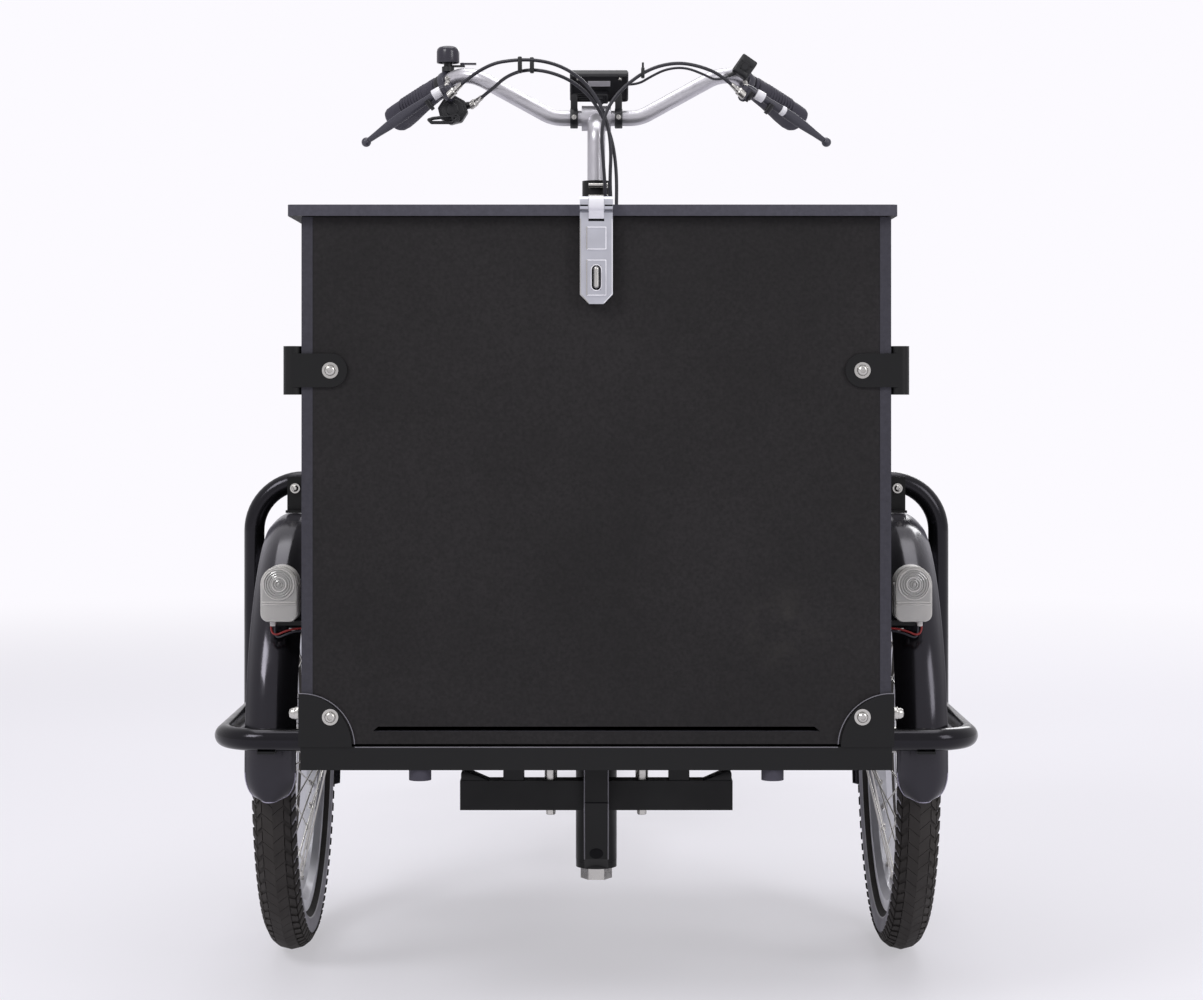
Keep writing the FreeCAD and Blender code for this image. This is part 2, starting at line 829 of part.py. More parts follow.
def spokes(centre, bead, flange_x, flange_radius):
    """One-cross lacing: each spoke leans a step round the rim, alternately ahead and behind."""
    step = 720 / spoke_count
    rim_radius = bead - rim_depth - seat_gap
    hole_radius = flange_radius - hub_hole_inset
    laced = []
    for side in (-1, 1):
        for hole in range(spoke_count // 2):
            lean = 1 if hole % 2 else -1
            hub_angle = math.radians(hole * step + side * step / 4)
            rim_angle = hub_angle + lean * math.radians(step)
            lift = spoke_lift if lean == side else 0
            x = side * (flange_x - hub_flange / 2) + lean * (hub_flange / 2 + spoke_radius + lift)
            start = V(x, math.cos(hub_angle) * hole_radius, math.sin(hub_angle) * hole_radius)
            end = V(0, math.cos(rim_angle) * rim_radius, math.sin(rim_angle) * rim_radius)
            laced.append(rod(centre + start, centre + end, spoke_radius))
    return laced


def hub(centre, radius, flange_radius, half_width, bore):
    shell = [(-half_width, bore), (-half_width, flange_radius), (-half_width + hub_flange, flange_radius),
             (-half_width + hub_flange, radius), (half_width - hub_flange, radius),
             (half_width - hub_flange, flange_radius), (half_width, flange_radius), (half_width, bore)]
    return revolved(shell, centre)


def front_axles():
    """A through axle with a spacer inside each plate and a nut outside it."""
    inner = wheel_x - axle_half_gap
    outer = wheel_x + axle_half_gap
    end = axle_plate + axle_nut_height
    hub_end = hub_half_width + seat_gap

    def point(x):
        return V(x, axle_y, axle_z)

    pieces = [rod(point(inner - end), point(outer + end), axle_radius),
              rod(point(inner), point(wheel_x - hub_end), axle_spacer_radius),
              rod(point(wheel_x + hub_end), point(outer), axle_spacer_radius),
              hexagon(point(inner - axle_plate), V(-axle_nut_height, 0, 0), axle_nut_radius),
              hexagon(point(outer + axle_plate), V(axle_nut_height, 0, 0), axle_nut_radius)]
    return pair(weld(pieces))


def axle_plate_solid(x0, top):
    half = axle_plate_width / 2
    plate = block(x0, x0 + axle_plate, axle_y - half, axle_y + half, axle_z - axle_plate_drop, top)
    hole = rod(V(x0 - overrun, axle_y, axle_z), V(x0 + axle_plate + overrun, axle_y, axle_z),
               axle_radius + hole_clearance)
    return plate.cut(hole)


def wheel_guards():
    """On each side a loop round the wheel, a hoop over it and the plates that hold the axle."""
    inner = box_half + rail_lip
    front = front_face + guard_setback
    rear = front + guard_length
    loop = [V(inner, front, rail_mid), V(guard_reach, front, rail_mid), V(guard_reach, rear, rail_mid),
            V(inner, rear, rail_mid)]
    hoop = [V(box_half, axle_y, hoop_height), V(guard_reach, axle_y, hoop_height),
            V(guard_reach, axle_y, rail_mid)]
    outer_plate = axle_plate_solid(wheel_x + axle_half_gap, rail_mid - guard_tube + weld_depth)
    shell = weld([bent_rod(loop, guard_bend, guard_tube), bent_rod(hoop, hoop_bend, guard_tube)])
    bore = bent_rod(loop, guard_bend, guard_tube - guard_wall)
    shell = shell.cut(bore).cut(bent_rod(hoop, hoop_bend, guard_tube - guard_wall))
    guard = weld([shell, outer_plate])
    return pair(guard) + pair(axle_plate_solid(wheel_x - axle_half_gap - axle_plate, rail_top))


def fender(centre, radius, half_width, start_angle, end_angle):
    """A crowned shell turned about the axle, from start to end, measured up from straight ahead."""
    def outline(outer_half, crown_radius):
        edge = crown_radius - fender_crown
        return [V(centre.x - outer_half, centre.y, centre.z + edge - fender_lip),
                V(centre.x - outer_half, centre.y, centre.z + edge),
                V(centre.x, centre.y, centre.z + crown_radius),
                V(centre.x + outer_half, centre.y, centre.z + edge),
                V(centre.x + outer_half, centre.y, centre.z + edge - fender_lip)]

    a = outline(half_width, radius)
    b = outline(half_width - fender_wall, radius - fender_wall)
    edges = [Part.LineSegment(a[0], a[1]).toShape(), Part.Arc(a[1], a[2], a[3]).toShape(),
             Part.LineSegment(a[3], a[4]).toShape(), Part.LineSegment(a[4], b[4]).toShape(),
             Part.LineSegment(b[4], b[3]).toShape(), Part.Arc(b[3], b[2], b[1]).toShape(),
             Part.LineSegment(b[1], b[0]).toShape(), Part.LineSegment(b[0], a[0]).toShape()]
    face = Part.Face(Part.Wire(edges))
    face.rotate(centre, V(1, 0, 0), 90 - start_angle)
    return face.revolve(centre, V(1, 0, 0), -(end_angle - start_angle))


def front_fender():
    """The front mudguard has its two front corners rounded off."""
    centre = V(wheel_x, axle_y, axle_z)
    shell = fender(centre, fender_radius, fender_half_width, fender_front_angle, fender_rear_angle)
    end_z = axle_z + (fender_radius - fender_crown - fender_lip) * math.sin(math.radians(fender_front_angle))
    depth = fender_radius * (1 - math.cos(math.radians(fender_front_angle * 3))) + fender_crown + fender_lip
    front = axle_y - fender_radius - overrun
    for side in (-1, 1):
        edge = wheel_x + side * fender_half_width
        heart = edge - side * fender_corner
        square = block(min(edge + side * overrun, heart), max(edge + side * overrun, heart), front,
                       front + depth + 2 * overrun, end_z - fender_corner, end_z + fender_corner)
        pin = rod(V(heart, front - overrun, end_z + fender_corner),
                  V(heart, front + depth + 3 * overrun, end_z + fender_corner), fender_corner)
        shell = shell.cut(square.cut(pin))
    return shell


def front_fenders():
    return pair(front_fender())


def wheel_brackets():
    """Tabs from hoop to mudguard, clips from loop to mudguard, and the lamps' arms."""
    half = bracket_width / 2
    tab_back = axle_y - guard_tube
    tab_front = tab_back - bracket_thickness
    foot_low = axle_z + fender_radius + seat_gap
    tab = block(wheel_x - half, wheel_x + half, tab_front, tab_back, foot_low, hoop_height + tab_rise)
    foot = block(wheel_x - half, wheel_x + half, tab_front - bracket_foot, tab_front, foot_low,
                 foot_low + bracket_thickness)
    clip_top = rail_mid - guard_tube
    rise = clip_top - axle_z
    clip_end = axle_y - math.sqrt(fender_radius ** 2 - (rise - bracket_thickness) ** 2) - seat_gap
    clip_front = front_face + guard_setback - guard_tube / 2
    clip = block(wheel_x - half, wheel_x + half, clip_front, clip_end, clip_top - bracket_thickness, clip_top)
    lamp_y = front_face + lamp_setback + lamp_depth / 2
    front = lamp_y - lamp_arm_half_width
    rear = lamp_y + lamp_arm_half_width
    arm = block(box_half, lamp_reach + half, front, rear, lamp_bottom - lamp_arm, lamp_bottom)
    flange = block(box_half, box_half + bracket_thickness, front, rear, lamp_bottom - lamp_arm,
                   lamp_bottom + lamp_flange_height)
    return pair(weld([tab, foot])) + pair(clip) + pair(weld([arm, flange]))


def lamp_solid(inset, front, depth):
    """A lamp's outline, drawn in by the inset: a half-round top, straight sides and rounded lower corners."""
    half = lamp_width / 2 - inset
    corner = lamp_foot_round - inset
    slant = corner * (1 - math.sqrt(0.5))
    low = lamp_bottom + inset
    spring = lamp_bottom + lamp_height - lamp_width / 2
    left = lamp_reach - half
    right = lamp_reach + half
    a = V(left + corner, front, low)
    b = V(right - corner, front, low)
    c = V(right, front, low + corner)
    d = V(right, front, spring)
    e = V(left, front, spring)
    f = V(left, front, low + corner)
    edges = [Part.LineSegment(a, b).toShape(), Part.Arc(b, V(right - slant, front, low + slant), c).toShape(),
             Part.LineSegment(c, d).toShape(), Part.Arc(d, V(lamp_reach, front, spring + half), e).toShape(),
             Part.LineSegment(e, f).toShape(), Part.Arc(f, V(left + slant, front, low + slant), a).toShape()]
    return Part.Face(Part.Wire(edges)).extrude(V(0, depth, 0))


def rounded_rim(solid, y, radius):
    """The solid with the edges of its flat end at that depth rounded."""
    rim = [edge for edge in solid.Edges if all(abs(v.Y - y) < run_clearance for v in edge.Vertexes)]
    return solid.makeFillet(radius, rim)


def headlight_housings():
    front = front_face + lamp_setback
    body = rounded_rim(lamp_solid(0, front, lamp_depth), front + lamp_depth, lamp_round)
    pocket = lamp_solid(lamp_lens_margin, front - overrun, lamp_lens_depth + overrun)
    return pair(body.cut(pocket))


def headlight_lenses():
    front = front_face + lamp_setback
    lens = lamp_solid(lamp_lens_margin + hole_clearance, front, lamp_lens_depth)
    return pair(rounded_rim(lens, front, lamp_lens_round))


def lamp_leads():
    """Two leads from each lamp's foot round under its arm to the box side."""
    y = front_face + lamp_setback + lamp_round
    low = lamp_bottom - lead_drop
    leads = []
    for offset in (-lead_spread, lead_spread):
        x = lamp_reach + offset / 2
        depth = low + offset
        points = [V(x, y + offset / 2, lamp_bottom), V(x, y + offset / 2, depth),
                  V(box_half + seat_gap, y + offset / 2, depth + lead_spread)]
        leads.append(bent_rod(points, lead_drop / 2, lead_radius))
    return pair(leads[0]) + pair(leads[1])


def pivot_yoke():
    """Plate under the rails, spacers and cross-member, and a strut down to the lower lug."""
    plate = block(-pivot_plate_half_width, pivot_plate_half_width, king_y - pivot_plate_front,
                  king_y + pivot_plate_back, pivot_plate_bottom, rail_bottom)
    yoke_top = yoke_bottom + yoke_height
    cross = block(-yoke_half_width, yoke_half_width, king_y - yoke_front, king_y - yoke_front + yoke_depth,
                  yoke_bottom, yoke_top)
    y = king_y - yoke_front + yoke_depth / 2
    spacers = pair(rod(V(yoke_bolt_spread, y, yoke_top), V(yoke_bolt_spread, y, pivot_plate_bottom),
                       yoke_spacer_radius))
    strut_back = king_y - yoke_front
    strut_front = strut_back - strut_size
    half = strut_size / 2
    strut = block(-half, half, strut_front, strut_back, strut_seam, pivot_plate_bottom)
    tube_front = king_y - head_tube_radius - seat_gap
    lean = [(strut_front, strut_seam), (strut_back, strut_seam), (strut_back, yoke_bottom),
            (tube_front, lug_top), (king_y - strut_lean_reach, lug_top),
            (king_y - strut_lean_reach, lug_bottom), (king_y - strut_toe, lug_bottom),
            (king_y - strut_heel, lug_top + strut_heel_rise)]
    foot = prism([V(-half, y0, z0) for y0, z0 in lean], V(strut_size, 0, 0))
    lug = rod(V(0, king_y, lug_bottom), V(0, king_y, lug_top), lug_radius)
    yoke = weld([plate, strut, foot, lug])
    yoke = yoke.cut(rod(V(0, king_y, lug_bottom - overrun), V(0, king_y, rail_bottom + overrun),
                        kingpin_radius + hole_clearance))
    pieces = [yoke, cross] + spacers
    for x in (-yoke_bolt_spread, yoke_bolt_spread):
        hole = rod(V(x, y, yoke_bottom - overrun), V(x, y, rail_bottom + overrun),
                   yoke_bolt_radius + hole_clearance)
        pieces = [piece.cut(hole) for piece in pieces]
    return pieces


def kingpin():
    head = hexagon(V(0, king_y, kingpin_head_bottom), V(0, 0, kingpin_head_height), kingpin_head_radius)
    shaft = rod(V(0, king_y, lug_bottom), V(0, king_y, rail_bottom + nut_height), kingpin_radius)
    nut = hexagon(V(0, king_y, rail_bottom), V(0, 0, nut_height * 2), kingpin_head_radius)
    return weld([head, shaft, nut])


def seat_tube_point(height):
    return crank_centre + seat_direction * ((height - crank_height) / seat_direction.z)


def seat_stay_ends(side):
    top = seat_tube_point(seat_stay_height)
    foot = V(0, rear_axle_y - dropout_half_width / 2, rear_axle_z + dropout_rise - dropout_half_width)
    middle = dropout_half_gap + dropout / 2
    return V(side * seat_stay_spread, top.y, top.z), V(side * middle, foot.y, foot.z)


def fender_bridge():
    """The point between the seat stays where a bridge touches the rear mudguard."""
    top, foot = seat_stay_ends(1)
    axle = V(0, rear_axle_y, rear_axle_z)
    reach = rear_fender_radius + bridge_radius + seat_gap
    start = V(0, top.y, top.z) - axle
    along = V(0, foot.y - top.y, foot.z - top.z)
    a = along.dot(along)
    b = 2 * start.dot(along)
    c = start.dot(start) - reach ** 2
    share = (-b - math.sqrt(b * b - 4 * a * c)) / (2 * a)
    return top + (foot - top) * share


def dropout_plate(x0):
    low = rear_axle_z - dropout_half_width
    plate = block(x0, x0 + dropout, rear_axle_y - dropout_reach, rear_axle_y + dropout_half_width, low,
                  rear_axle_z + dropout_half_width)
    ear = block(x0, x0 + dropout, rear_axle_y - dropout_half_width, rear_axle_y + dropout_half_width,
                rear_axle_z, rear_axle_z + dropout_rise)
    hole = rod(V(x0 - overrun, rear_axle_y, rear_axle_z), V(x0 + dropout + overrun, rear_axle_y, rear_axle_z),
               rear_axle_radius + hole_clearance)
    return weld([plate, ear]).cut(hole)


def main_frame():
    """One welded frame: head tube, beam, crank shell, seat tube, stays and dropouts."""
    head_low = V(0, king_y, lug_top + seat_gap)
    head_high = V(0, king_y, pivot_plate_bottom - seat_gap)
    beam = [V(0, king_y, beam_height), V(0, front_face + beam_rise_setback, beam_height), crank_centre]
    shell_end = V(shell_half_width, 0, 0)
    seat_top = seat_tube_point(seat_tube_top)
    outers = [rod(head_low, head_high, head_tube_radius), bent_rod(beam, beam_bend, beam_radius),
              rod(crank_centre - shell_end, crank_centre + shell_end, shell_radius),
              rod(crank_centre, seat_top, seat_tube_radius)]
    across = V(seat_stay_spread, 0, 0)
    seat_middle = seat_tube_point(seat_stay_height)
    outers.append(rod(seat_middle - across, seat_middle + across, seat_stay_radius))
    bridge = fender_bridge()
    outers.append(rod(V(-bridge.x, bridge.y, bridge.z), bridge, bridge_radius))
    for side in (-1, 1):
        top, foot = seat_stay_ends(side)
        outers.append(rod(top, foot, seat_stay_radius))
        middle = side * (dropout_half_gap + dropout / 2)
        stay_end = V(middle, front_face + chain_stay_end_setback, rear_axle_z - dropout_half_width / 2)
        stay_start = V(side * chain_stay_start, crank_y + chain_stay_back, crank_height)
        outers.append(rod(stay_start, stay_end, stay_radius))
        outers.append(dropout_plate(min(middle - dropout / 2, middle + dropout / 2)))
    frame = weld(outers)
    lift = V(0, 0, overrun)
    frame = frame.cut(rod(head_low - lift, head_high + lift, head_tube_radius - head_tube_wall))
    frame = frame.cut(bent_rod(beam, beam_bend, beam_radius - beam_wall))
    frame = frame.cut(rod(crank_centre - shell_end * 2, crank_centre + shell_end * 2, shell_bore))
    along = seat_direction * overrun
    frame = frame.cut(rod(crank_centre, seat_top + along, seat_post_radius + run_clearance))
    return [frame, seat_clamp(), rear_axle()]


def seat_clamp():
    top = seat_tube_point(seat_tube_top)
    return ring(top - seat_direction * clamp_height, top, clamp_radius, seat_tube_radius)


def rear_axle():
    inner = dropout_half_gap
    outer = dropout_half_gap + dropout

    def point(x):
        return V(x, rear_axle_y, rear_axle_z)

    pieces = [rod(point(-outer - axle_nut_height), point(outer + axle_nut_height), rear_axle_radius),
              rod(point(hub_half_width + seat_gap), point(inner), axle_spacer_radius),
              rod(point(-inner), point(-driver_outer - seat_gap), axle_spacer_radius)]
    for side in (-1, 1):
        pieces.append(hexagon(point(side * outer), V(side * axle_nut_height, 0, 0), rear_axle_nut_radius))
    return weld(pieces)


def frame_bushes():
    """Bushes in the head tube for the kingpin, and in the crank shell for the spindle."""
    inner = head_tube_radius - head_tube_wall
    low = V(0, king_y, lug_top + seat_gap)
    high = V(0, king_y, pivot_plate_bottom - seat_gap)
    length = V(0, 0, bush_length)
    bushes = [ring(low, low + length, inner, kingpin_radius + run_clearance),
              ring(high - length, high, inner, kingpin_radius + run_clearance)]
    for side in (-1, 1):
        end = crank_centre + V(side * shell_half_width, 0, 0)
        bushes.append(ring(end, end - V(side * bush_length, 0, 0), shell_bore, spindle_radius + run_clearance))
    return bushes


def toothed_disc(centre, radius, teeth, thickness):
    tooth_shares = ((0.1, -1), (0.35, 1), (0.65, 1), (0.9, -1))
    points = []
    for tooth in range(teeth):
        for share, step in tooth_shares:
            angle = 2 * math.pi * (tooth + share) / teeth
            reach = radius + step * tooth_height / 2
            points.append(centre + V(-thickness / 2, math.cos(angle) * reach, math.sin(angle) * reach))
    return prism(points, V(thickness, 0, 0))


def belt_solid(first, first_radius, last, last_radius, width):
    """A solid whose outline is two circles and the two lines that touch both."""
    along = last - first
    reach = along.Length
    along.normalize()
    lean = math.degrees(math.acos((first_radius - last_radius) / reach))
    up = FreeCAD.Rotation(V(1, 0, 0), lean).multVec(along)
    down = FreeCAD.Rotation(V(1, 0, 0), -lean).multVec(along)
    a = first + up * first_radius
    b = first + down * first_radius
    c = last + down * last_radius
    d = last + up * last_radius
    edges = [Part.Arc(a, first - along * first_radius, b).toShape(), Part.LineSegment(b, c).toShape(),
             Part.Arc(c, last + along * last_radius, d).toShape(), Part.LineSegment(d, a).toShape()]
    return Part.Face(Part.Wire(edges)).extrude(V(width, 0, 0))


def crank_arm(side):
    """A tapered arm, ahead on the right and behind on the left, with its pedal axle."""
    x = side * crank_inner
    outer = V(side * crank_thickness, 0, 0)
    centre = V(x, crank_y, crank_height)
    end = centre + V(0, side * crank_length, 0)
    web = prism([centre + V(0, 0, crank_boss_radius), centre - V(0, 0, crank_boss_radius),
                 end - V(0, 0, crank_end_radius), end + V(0, 0, crank_end_radius)], outer)
    axle_end = V(side * (pedal_inner + pedal_length - pedal_round), end.y, end.z)
    return [web, rod(centre, centre + outer, crank_boss_radius), rod(end, end + outer, crank_end_radius),
            rod(end, axle_end, pedal_axle_radius)]


def crankset():
    reach = V(crank_inner + crank_thickness, 0, 0)
    ring_centre = crank_centre - V(chain_line, 0, 0)
    spider = rod(ring_centre, crank_centre - V(crank_inner, 0, 0), spider_radius)
    chainring = toothed_disc(ring_centre, ring_radius, ring_teeth, ring_thickness)
    return weld([rod(crank_centre - reach, crank_centre + reach, spindle_radius), chainring, spider]
                + crank_arm(-1) + crank_arm(1))


def pedal(side):
    y = crank_y + side * crank_length
    x0 = side * pedal_inner
    x1 = side * (pedal_inner + pedal_length)
    body = rounded_block(min(x0, x1), max(x0, x1), y - pedal_width / 2, y + pedal_width / 2,
                         crank_height - pedal_height / 2, crank_height + pedal_height / 2, pedal_round)
    start = V(x0 - side * overrun, y, crank_height)
    return body.cut(rod(start, V(x1 + side * overrun, y, crank_height), pedal_axle_radius + run_clearance))


def rear_sprocket():
    axle = V(-chain_line, rear_axle_y, rear_axle_z)
    disc = toothed_disc(axle, sprocket_radius, sprocket_teeth, ring_thickness)
    low = V(-driver_outer, rear_axle_y, rear_axle_z)
    high = V(-driver_inner, rear_axle_y, rear_axle_z)
    driver = weld([disc, rod(low, high, driver_radius)])
    return driver.cut(rod(low - outwards * overrun, high + outwards * overrun, rear_axle_radius + run_clearance))


def chain():
    x = -chain_line - chain_width / 2
    first = V(x, crank_y, crank_height)
    last = V(x, rear_axle_y, rear_axle_z)
    inner_first = ring_radius + tooth_height / 2 + chain_gap
    inner_last = sprocket_radius + tooth_height / 2 + chain_gap
    band = belt_solid(first, inner_first + chain_height, last, inner_last + chain_height, chain_width)
    return band.cut(belt_solid(first, inner_first, last, inner_last, chain_width))


def motor_unit():
    middle = crank_centre + V(0, motor_back, -motor_drop)
    half = V(motor_half_width, 0, 0)
    case_x = V(-shell_half_width - gear_case, 0, 0)
    case = belt_solid(crank_centre + case_x, gear_case_radius, middle + case_x, motor_radius - rail_wall,
                      gear_case)
    unit = weld([rod(middle - half, middle + half, motor_radius), case])
    reach = V(crank_inner, 0, 0)
    return unit.cut(rod(crank_centre - reach, crank_centre + reach, spindle_radius + seat_gap))


def rear_fender():
    centre = V(0, rear_axle_y, rear_axle_z)
    return fender(centre, rear_fender_radius, rear_fender_half_width, rear_fender_front_angle, fender_rear_angle)


def rear_rack():
    """Two rails behind the seat tube, cross bars between them and a leg down to each dropout."""
    front = front_face + rack_front_setback
    rear = front_face + rack_rear_setback
    top = seat_tube_point(seat_stay_height)
    start = V(seat_stay_spread - seat_stay_radius / 2, top.y - seat_stay_radius, rack_height)
    rail = bent_rod([start, V(rack_half_width, front, rack_height), V(rack_half_width, rear, rack_height)],
                    rack_bend, rack_tube)
    leg_x = dropout_half_gap + dropout + rack_tube + 2 * seat_gap
    leg_foot = V(leg_x, rear_axle_y, rear_axle_z + dropout_rise - rack_tube)
    leg = rod(leg_foot, V(rack_half_width, rear_axle_y + rack_leg_setback, rack_height), rack_tube)
    pieces = pair(rail) + pair(leg)
    across = V(rack_half_width, 0, 0)
    for bar in range(rack_crossbar_count):
        share = (bar + 1) / rack_crossbar_count
        middle = V(0, front + (rear - front) * share, rack_height)
        pieces.append(rod(middle - across, middle + across, rack_tube))
    return weld(pieces)


def battery():
    low = rack_height + rack_tube
    front = front_face + rack_front_setback
    return rounded_block(-battery_half_width, battery_half_width, front, front + battery_length, low,
                         low + battery_height, battery_round)


def tail_light():
    front = front_face + rack_rear_setback + rack_tube
    half = tail_height / 2
    return rounded_block(-tail_half_width, tail_half_width, front, front + tail_depth, rack_height - half,
                         rack_height + half, tail_round)


def seatpost():
    """The post, the clamp on its top and the two saddle rails in the clamp."""
    rail_z = saddle_height - rail_drop
    top = seat_tube_point(rail_z)
    low = seat_tube_point(seat_tube_top - stem_depth)
    half = rail_spread + rail_rod * 2
    size = saddle_clamp_size / 2
    clamp = block(-half, half, top.y - size, top.y + size, rail_z - size / 2, rail_z + size / 2)
    front = top.y - rail_length / 2
    back = top.y + rail_length / 2
    end_z = saddle_height - seat_gap
    rails = bent_rod([V(rail_spread, front, end_z), V(rail_spread, front, rail_z), V(rail_spread, back, rail_z),
                      V(rail_spread, back, end_z)], rail_hook, rail_rod)
    return weld([rod(low, top, seat_post_radius), clamp] + pair(rails))


def saddle():
    """A crowned pad, narrow at the nose and wide at the back, with drawn-in sides."""
    section_shares = ((0.0, 0.17, 0.60), (0.08, 0.22, 0.78), (0.38, 0.34, 0.84), (0.66, 0.80, 0.92),
                      (0.88, 1.0, 1.0), (1.0, 0.84, 0.80))
    foot_share = 0.82
    shoulder_share = 0.45
    nose = seat_tube_point(saddle_height).y - saddle_nose_ahead
    wires = []
    for along_share, width_share, height_share in section_shares:
        y = nose + along_share * saddle_length
        half = width_share * saddle_half_width
        height = height_share * saddle_pad
        foot = half * foot_share
        shoulder = saddle_height + height * shoulder_share
        a = V(-foot, y, saddle_height)
        b = V(-half, y, shoulder)
        c = V(half, y, shoulder)
        d = V(foot, y, saddle_height)
        edges = [Part.LineSegment(a, b).toShape(), Part.Arc(b, V(0, y, saddle_height + height), c).toShape(),
                 Part.LineSegment(c, d).toShape(), Part.LineSegment(d, a).toShape()]
        wires.append(Part.Wire(edges))
    return Part.makeLoft(wires, True, False)


def steering_post():
    """The tube behind the box, held by two brackets, with a clamp collar round its top."""
    foot = V(0, post_y, rail_top)
    top = V(0, post_y, post_top)
    pieces = [rod(foot, top, post_radius)]
    for low in (post_bracket_low, post_bracket_high):
        pieces.append(block(-post_bracket_half_width, post_bracket_half_width, rear_face, post_y, low,
                            low + post_bracket_height))
    lift = V(0, 0, overrun)
    post = weld(pieces).cut(rod(foot - lift, top + lift, post_radius - post_wall))
    collar = ring(top - V(0, 0, collar_height), top, collar_radius, post_radius + run_clearance)
    return [post, collar]


def bar_point(x, back, up):
    return bar_centre + V(x, back, up)


def bar_hole(start, along, reach, clearance):
    return rod(start - along * reach, start + along * reach, bar_radius + clearance)


def stem():
    column = bent_rod([V(0, post_y, post_top - stem_depth), V(0, post_y, stem_knee), bar_centre], stem_bend,
                      stem_radius)
    half = V(stem_clamp_half_width, 0, 0)
    clamp = rod(bar_centre - half, bar_centre + half, stem_clamp_radius)
    return weld([column, clamp]).cut(bar_hole(bar_centre, outwards, bar_flat, run_clearance))


def handlebar():
    right = [V(bar_flat, 0, 0), bar_corner, bar_end]
    left = [V(-p.x, p.y, p.z) for p in reversed(right)]
    return bent_tube([bar_centre + p for p in left + right], bar_bend, bar_radius, bar_wall)


def grips():
    end = bar_centre + bar_end
    sleeve = ring(end - grip_direction * grip_length, end, grip_radius, bar_radius + run_clearance)
    cap = rod(end, end + grip_direction * bar_wall, grip_radius)
    return pair(weld([sleeve, cap]))


pivot_point = bar_point(pivot_reach, -pivot_ahead, pivot_height)
lever_tip = bar_point(lever_tip_reach, lever_tip_back, lever_tip_height)
grip_middle = bar_centre + bar_end - grip_direction * (grip_length / 2)
lever_axis = (lever_tip - pivot_point).cross(grip_middle - pivot_point).normalize()
perch_centre = bar_centre + bar_corner + grip_direction * perch_along
shifter_centre = bar_centre + bar_corner + grip_direction * shifter_along


def perch(start, onward):
    """Clamp ring, arm, pivot with its pin, and the barrel that the brake cable leaves."""
    half = grip_direction * (perch_width / 2)
    foot = pivot_point - lever_axis * pivot_boss_height
    cable_start = bar_centre + start
    barrel_back = cable_start - (onward - start).normalize() * adjuster_length
    pieces = [rod(perch_centre - half, perch_centre + half, perch_radius),
              rod(perch_centre, foot, perch_arm),
              rod(foot, pivot_point, pivot_boss),
              rod(foot, pivot_point + lever_axis * (pivot_boss_height + seat_gap), pivot_pin),
              rod(foot, barrel_back, perch_link),
              rod(barrel_back, cable_start, adjuster_radius)]
    return weld(pieces).cut(bar_hole(perch_centre, grip_direction, perch_along, run_clearance))


def shifter_pod():
    """The gear shifter under the right grip's inner end, with its clamp ring."""
    body = rounded_block(-shifter_outer, -shifter_inner, bar_y + shifter_front,
                         bar_y + shifter_front + shifter_depth, bar_height + shifter_bottom,
                         bar_height + shifter_bottom + shifter_height, shifter_round)
    centre = V(-shifter_centre.x, shifter_centre.y, shifter_centre.z)
    along = V(-grip_direction.x, grip_direction.y, grip_direction.z)
    half = along * (shifter_ring_width / 2)
    inside = bar_point(-(shifter_inner + shifter_outer) / 2, shifter_front + shifter_depth / 2,
                       shifter_bottom + shifter_height / 2)
    start = bar_centre + V(*shift_cable[0])
    onward = (V(*shift_cable[1]) - V(*shift_cable[0])).normalize()
    pin_end = V(thumb_pivot.x, thumb_pivot.y - thumb_thickness, thumb_pivot.z)
    pieces = [body, rod(centre - half, centre + half, shifter_ring), rod(inside, centre, shifter_link),
              rod(start - onward * adjuster_length, start, adjuster_radius),
              rod(thumb_pivot + V(0, shifter_depth / 2, 0), pin_end, thumb_pin)]
    perch_half = grip_direction * (perch_width / 2 + hole_clearance)
    perch_room = rod(perch_centre - perch_half, perch_centre + perch_half, perch_radius + hole_clearance)
    pod = weld(pieces).cut(mirrored(perch_room))
    return pod.cut(bar_hole(centre, along, shifter_along, run_clearance))


thumb_pivot = bar_point(-(shifter_inner + shifter_outer) / 2, shifter_front, shifter_bottom + thumb_height)


def shift_lever():
    """A thumb paddle that turns on the shifter's front face."""
    back = thumb_pivot.y - seat_gap
    front = back - thumb_thickness
    half = thumb_width / 2
    tip = thumb_pivot.x - thumb_length
    boss = rod(V(thumb_pivot.x, front, thumb_pivot.z), V(thumb_pivot.x, back, thumb_pivot.z), thumb_boss)
    paddle = block(tip, thumb_pivot.x, front, back, thumb_pivot.z - half, thumb_pivot.z + half)
    nose = rod(V(tip, front, thumb_pivot.z), V(tip, back, thumb_pivot.z), half)
    bore = rod(V(thumb_pivot.x, front - overrun, thumb_pivot.z), V(thumb_pivot.x, back + overrun, thumb_pivot.z),
               thumb_pin + run_clearance)
    return weld([boss, paddle, nose]).cut(bore)


switch_centre = bar_point(switch_centre_reach, switch_centre_back, switch_centre_height)


def assist_switch():
    """The assist switch on the left perch, with a pocket for its button and a sleeve for its lead."""
    half = switch_depth / 2
    body = rounded_block(switch_centre.x - switch_width / 2, switch_centre.x + switch_width / 2,
                         switch_centre.y - half, switch_centre.y + half, switch_centre.z - switch_height / 2,
                         switch_centre.z + switch_height / 2, switch_round)
    body.rotate(switch_centre, V(0, 1, 0), switch_turn)
    ring_room = rod(perch_centre - grip_direction * perch_along, perch_centre + grip_direction * perch_along,
                    perch_radius)
    arm = rod(switch_centre, perch_centre, switch_round).cut(ring_room)
    sleeve = rod(switch_centre, bar_centre + V(*display_lead[-1]), lead_wire_radius * 2)
    face = switch_centre.y - half
    pocket = rod(V(switch_centre.x, face - overrun, switch_centre.z),
                 V(switch_centre.x, face + button_seat + button_travel + seat_gap, switch_centre.z),
                 button_radius + run_clearance)
    return weld([body, arm, sleeve]).cut(pocket)


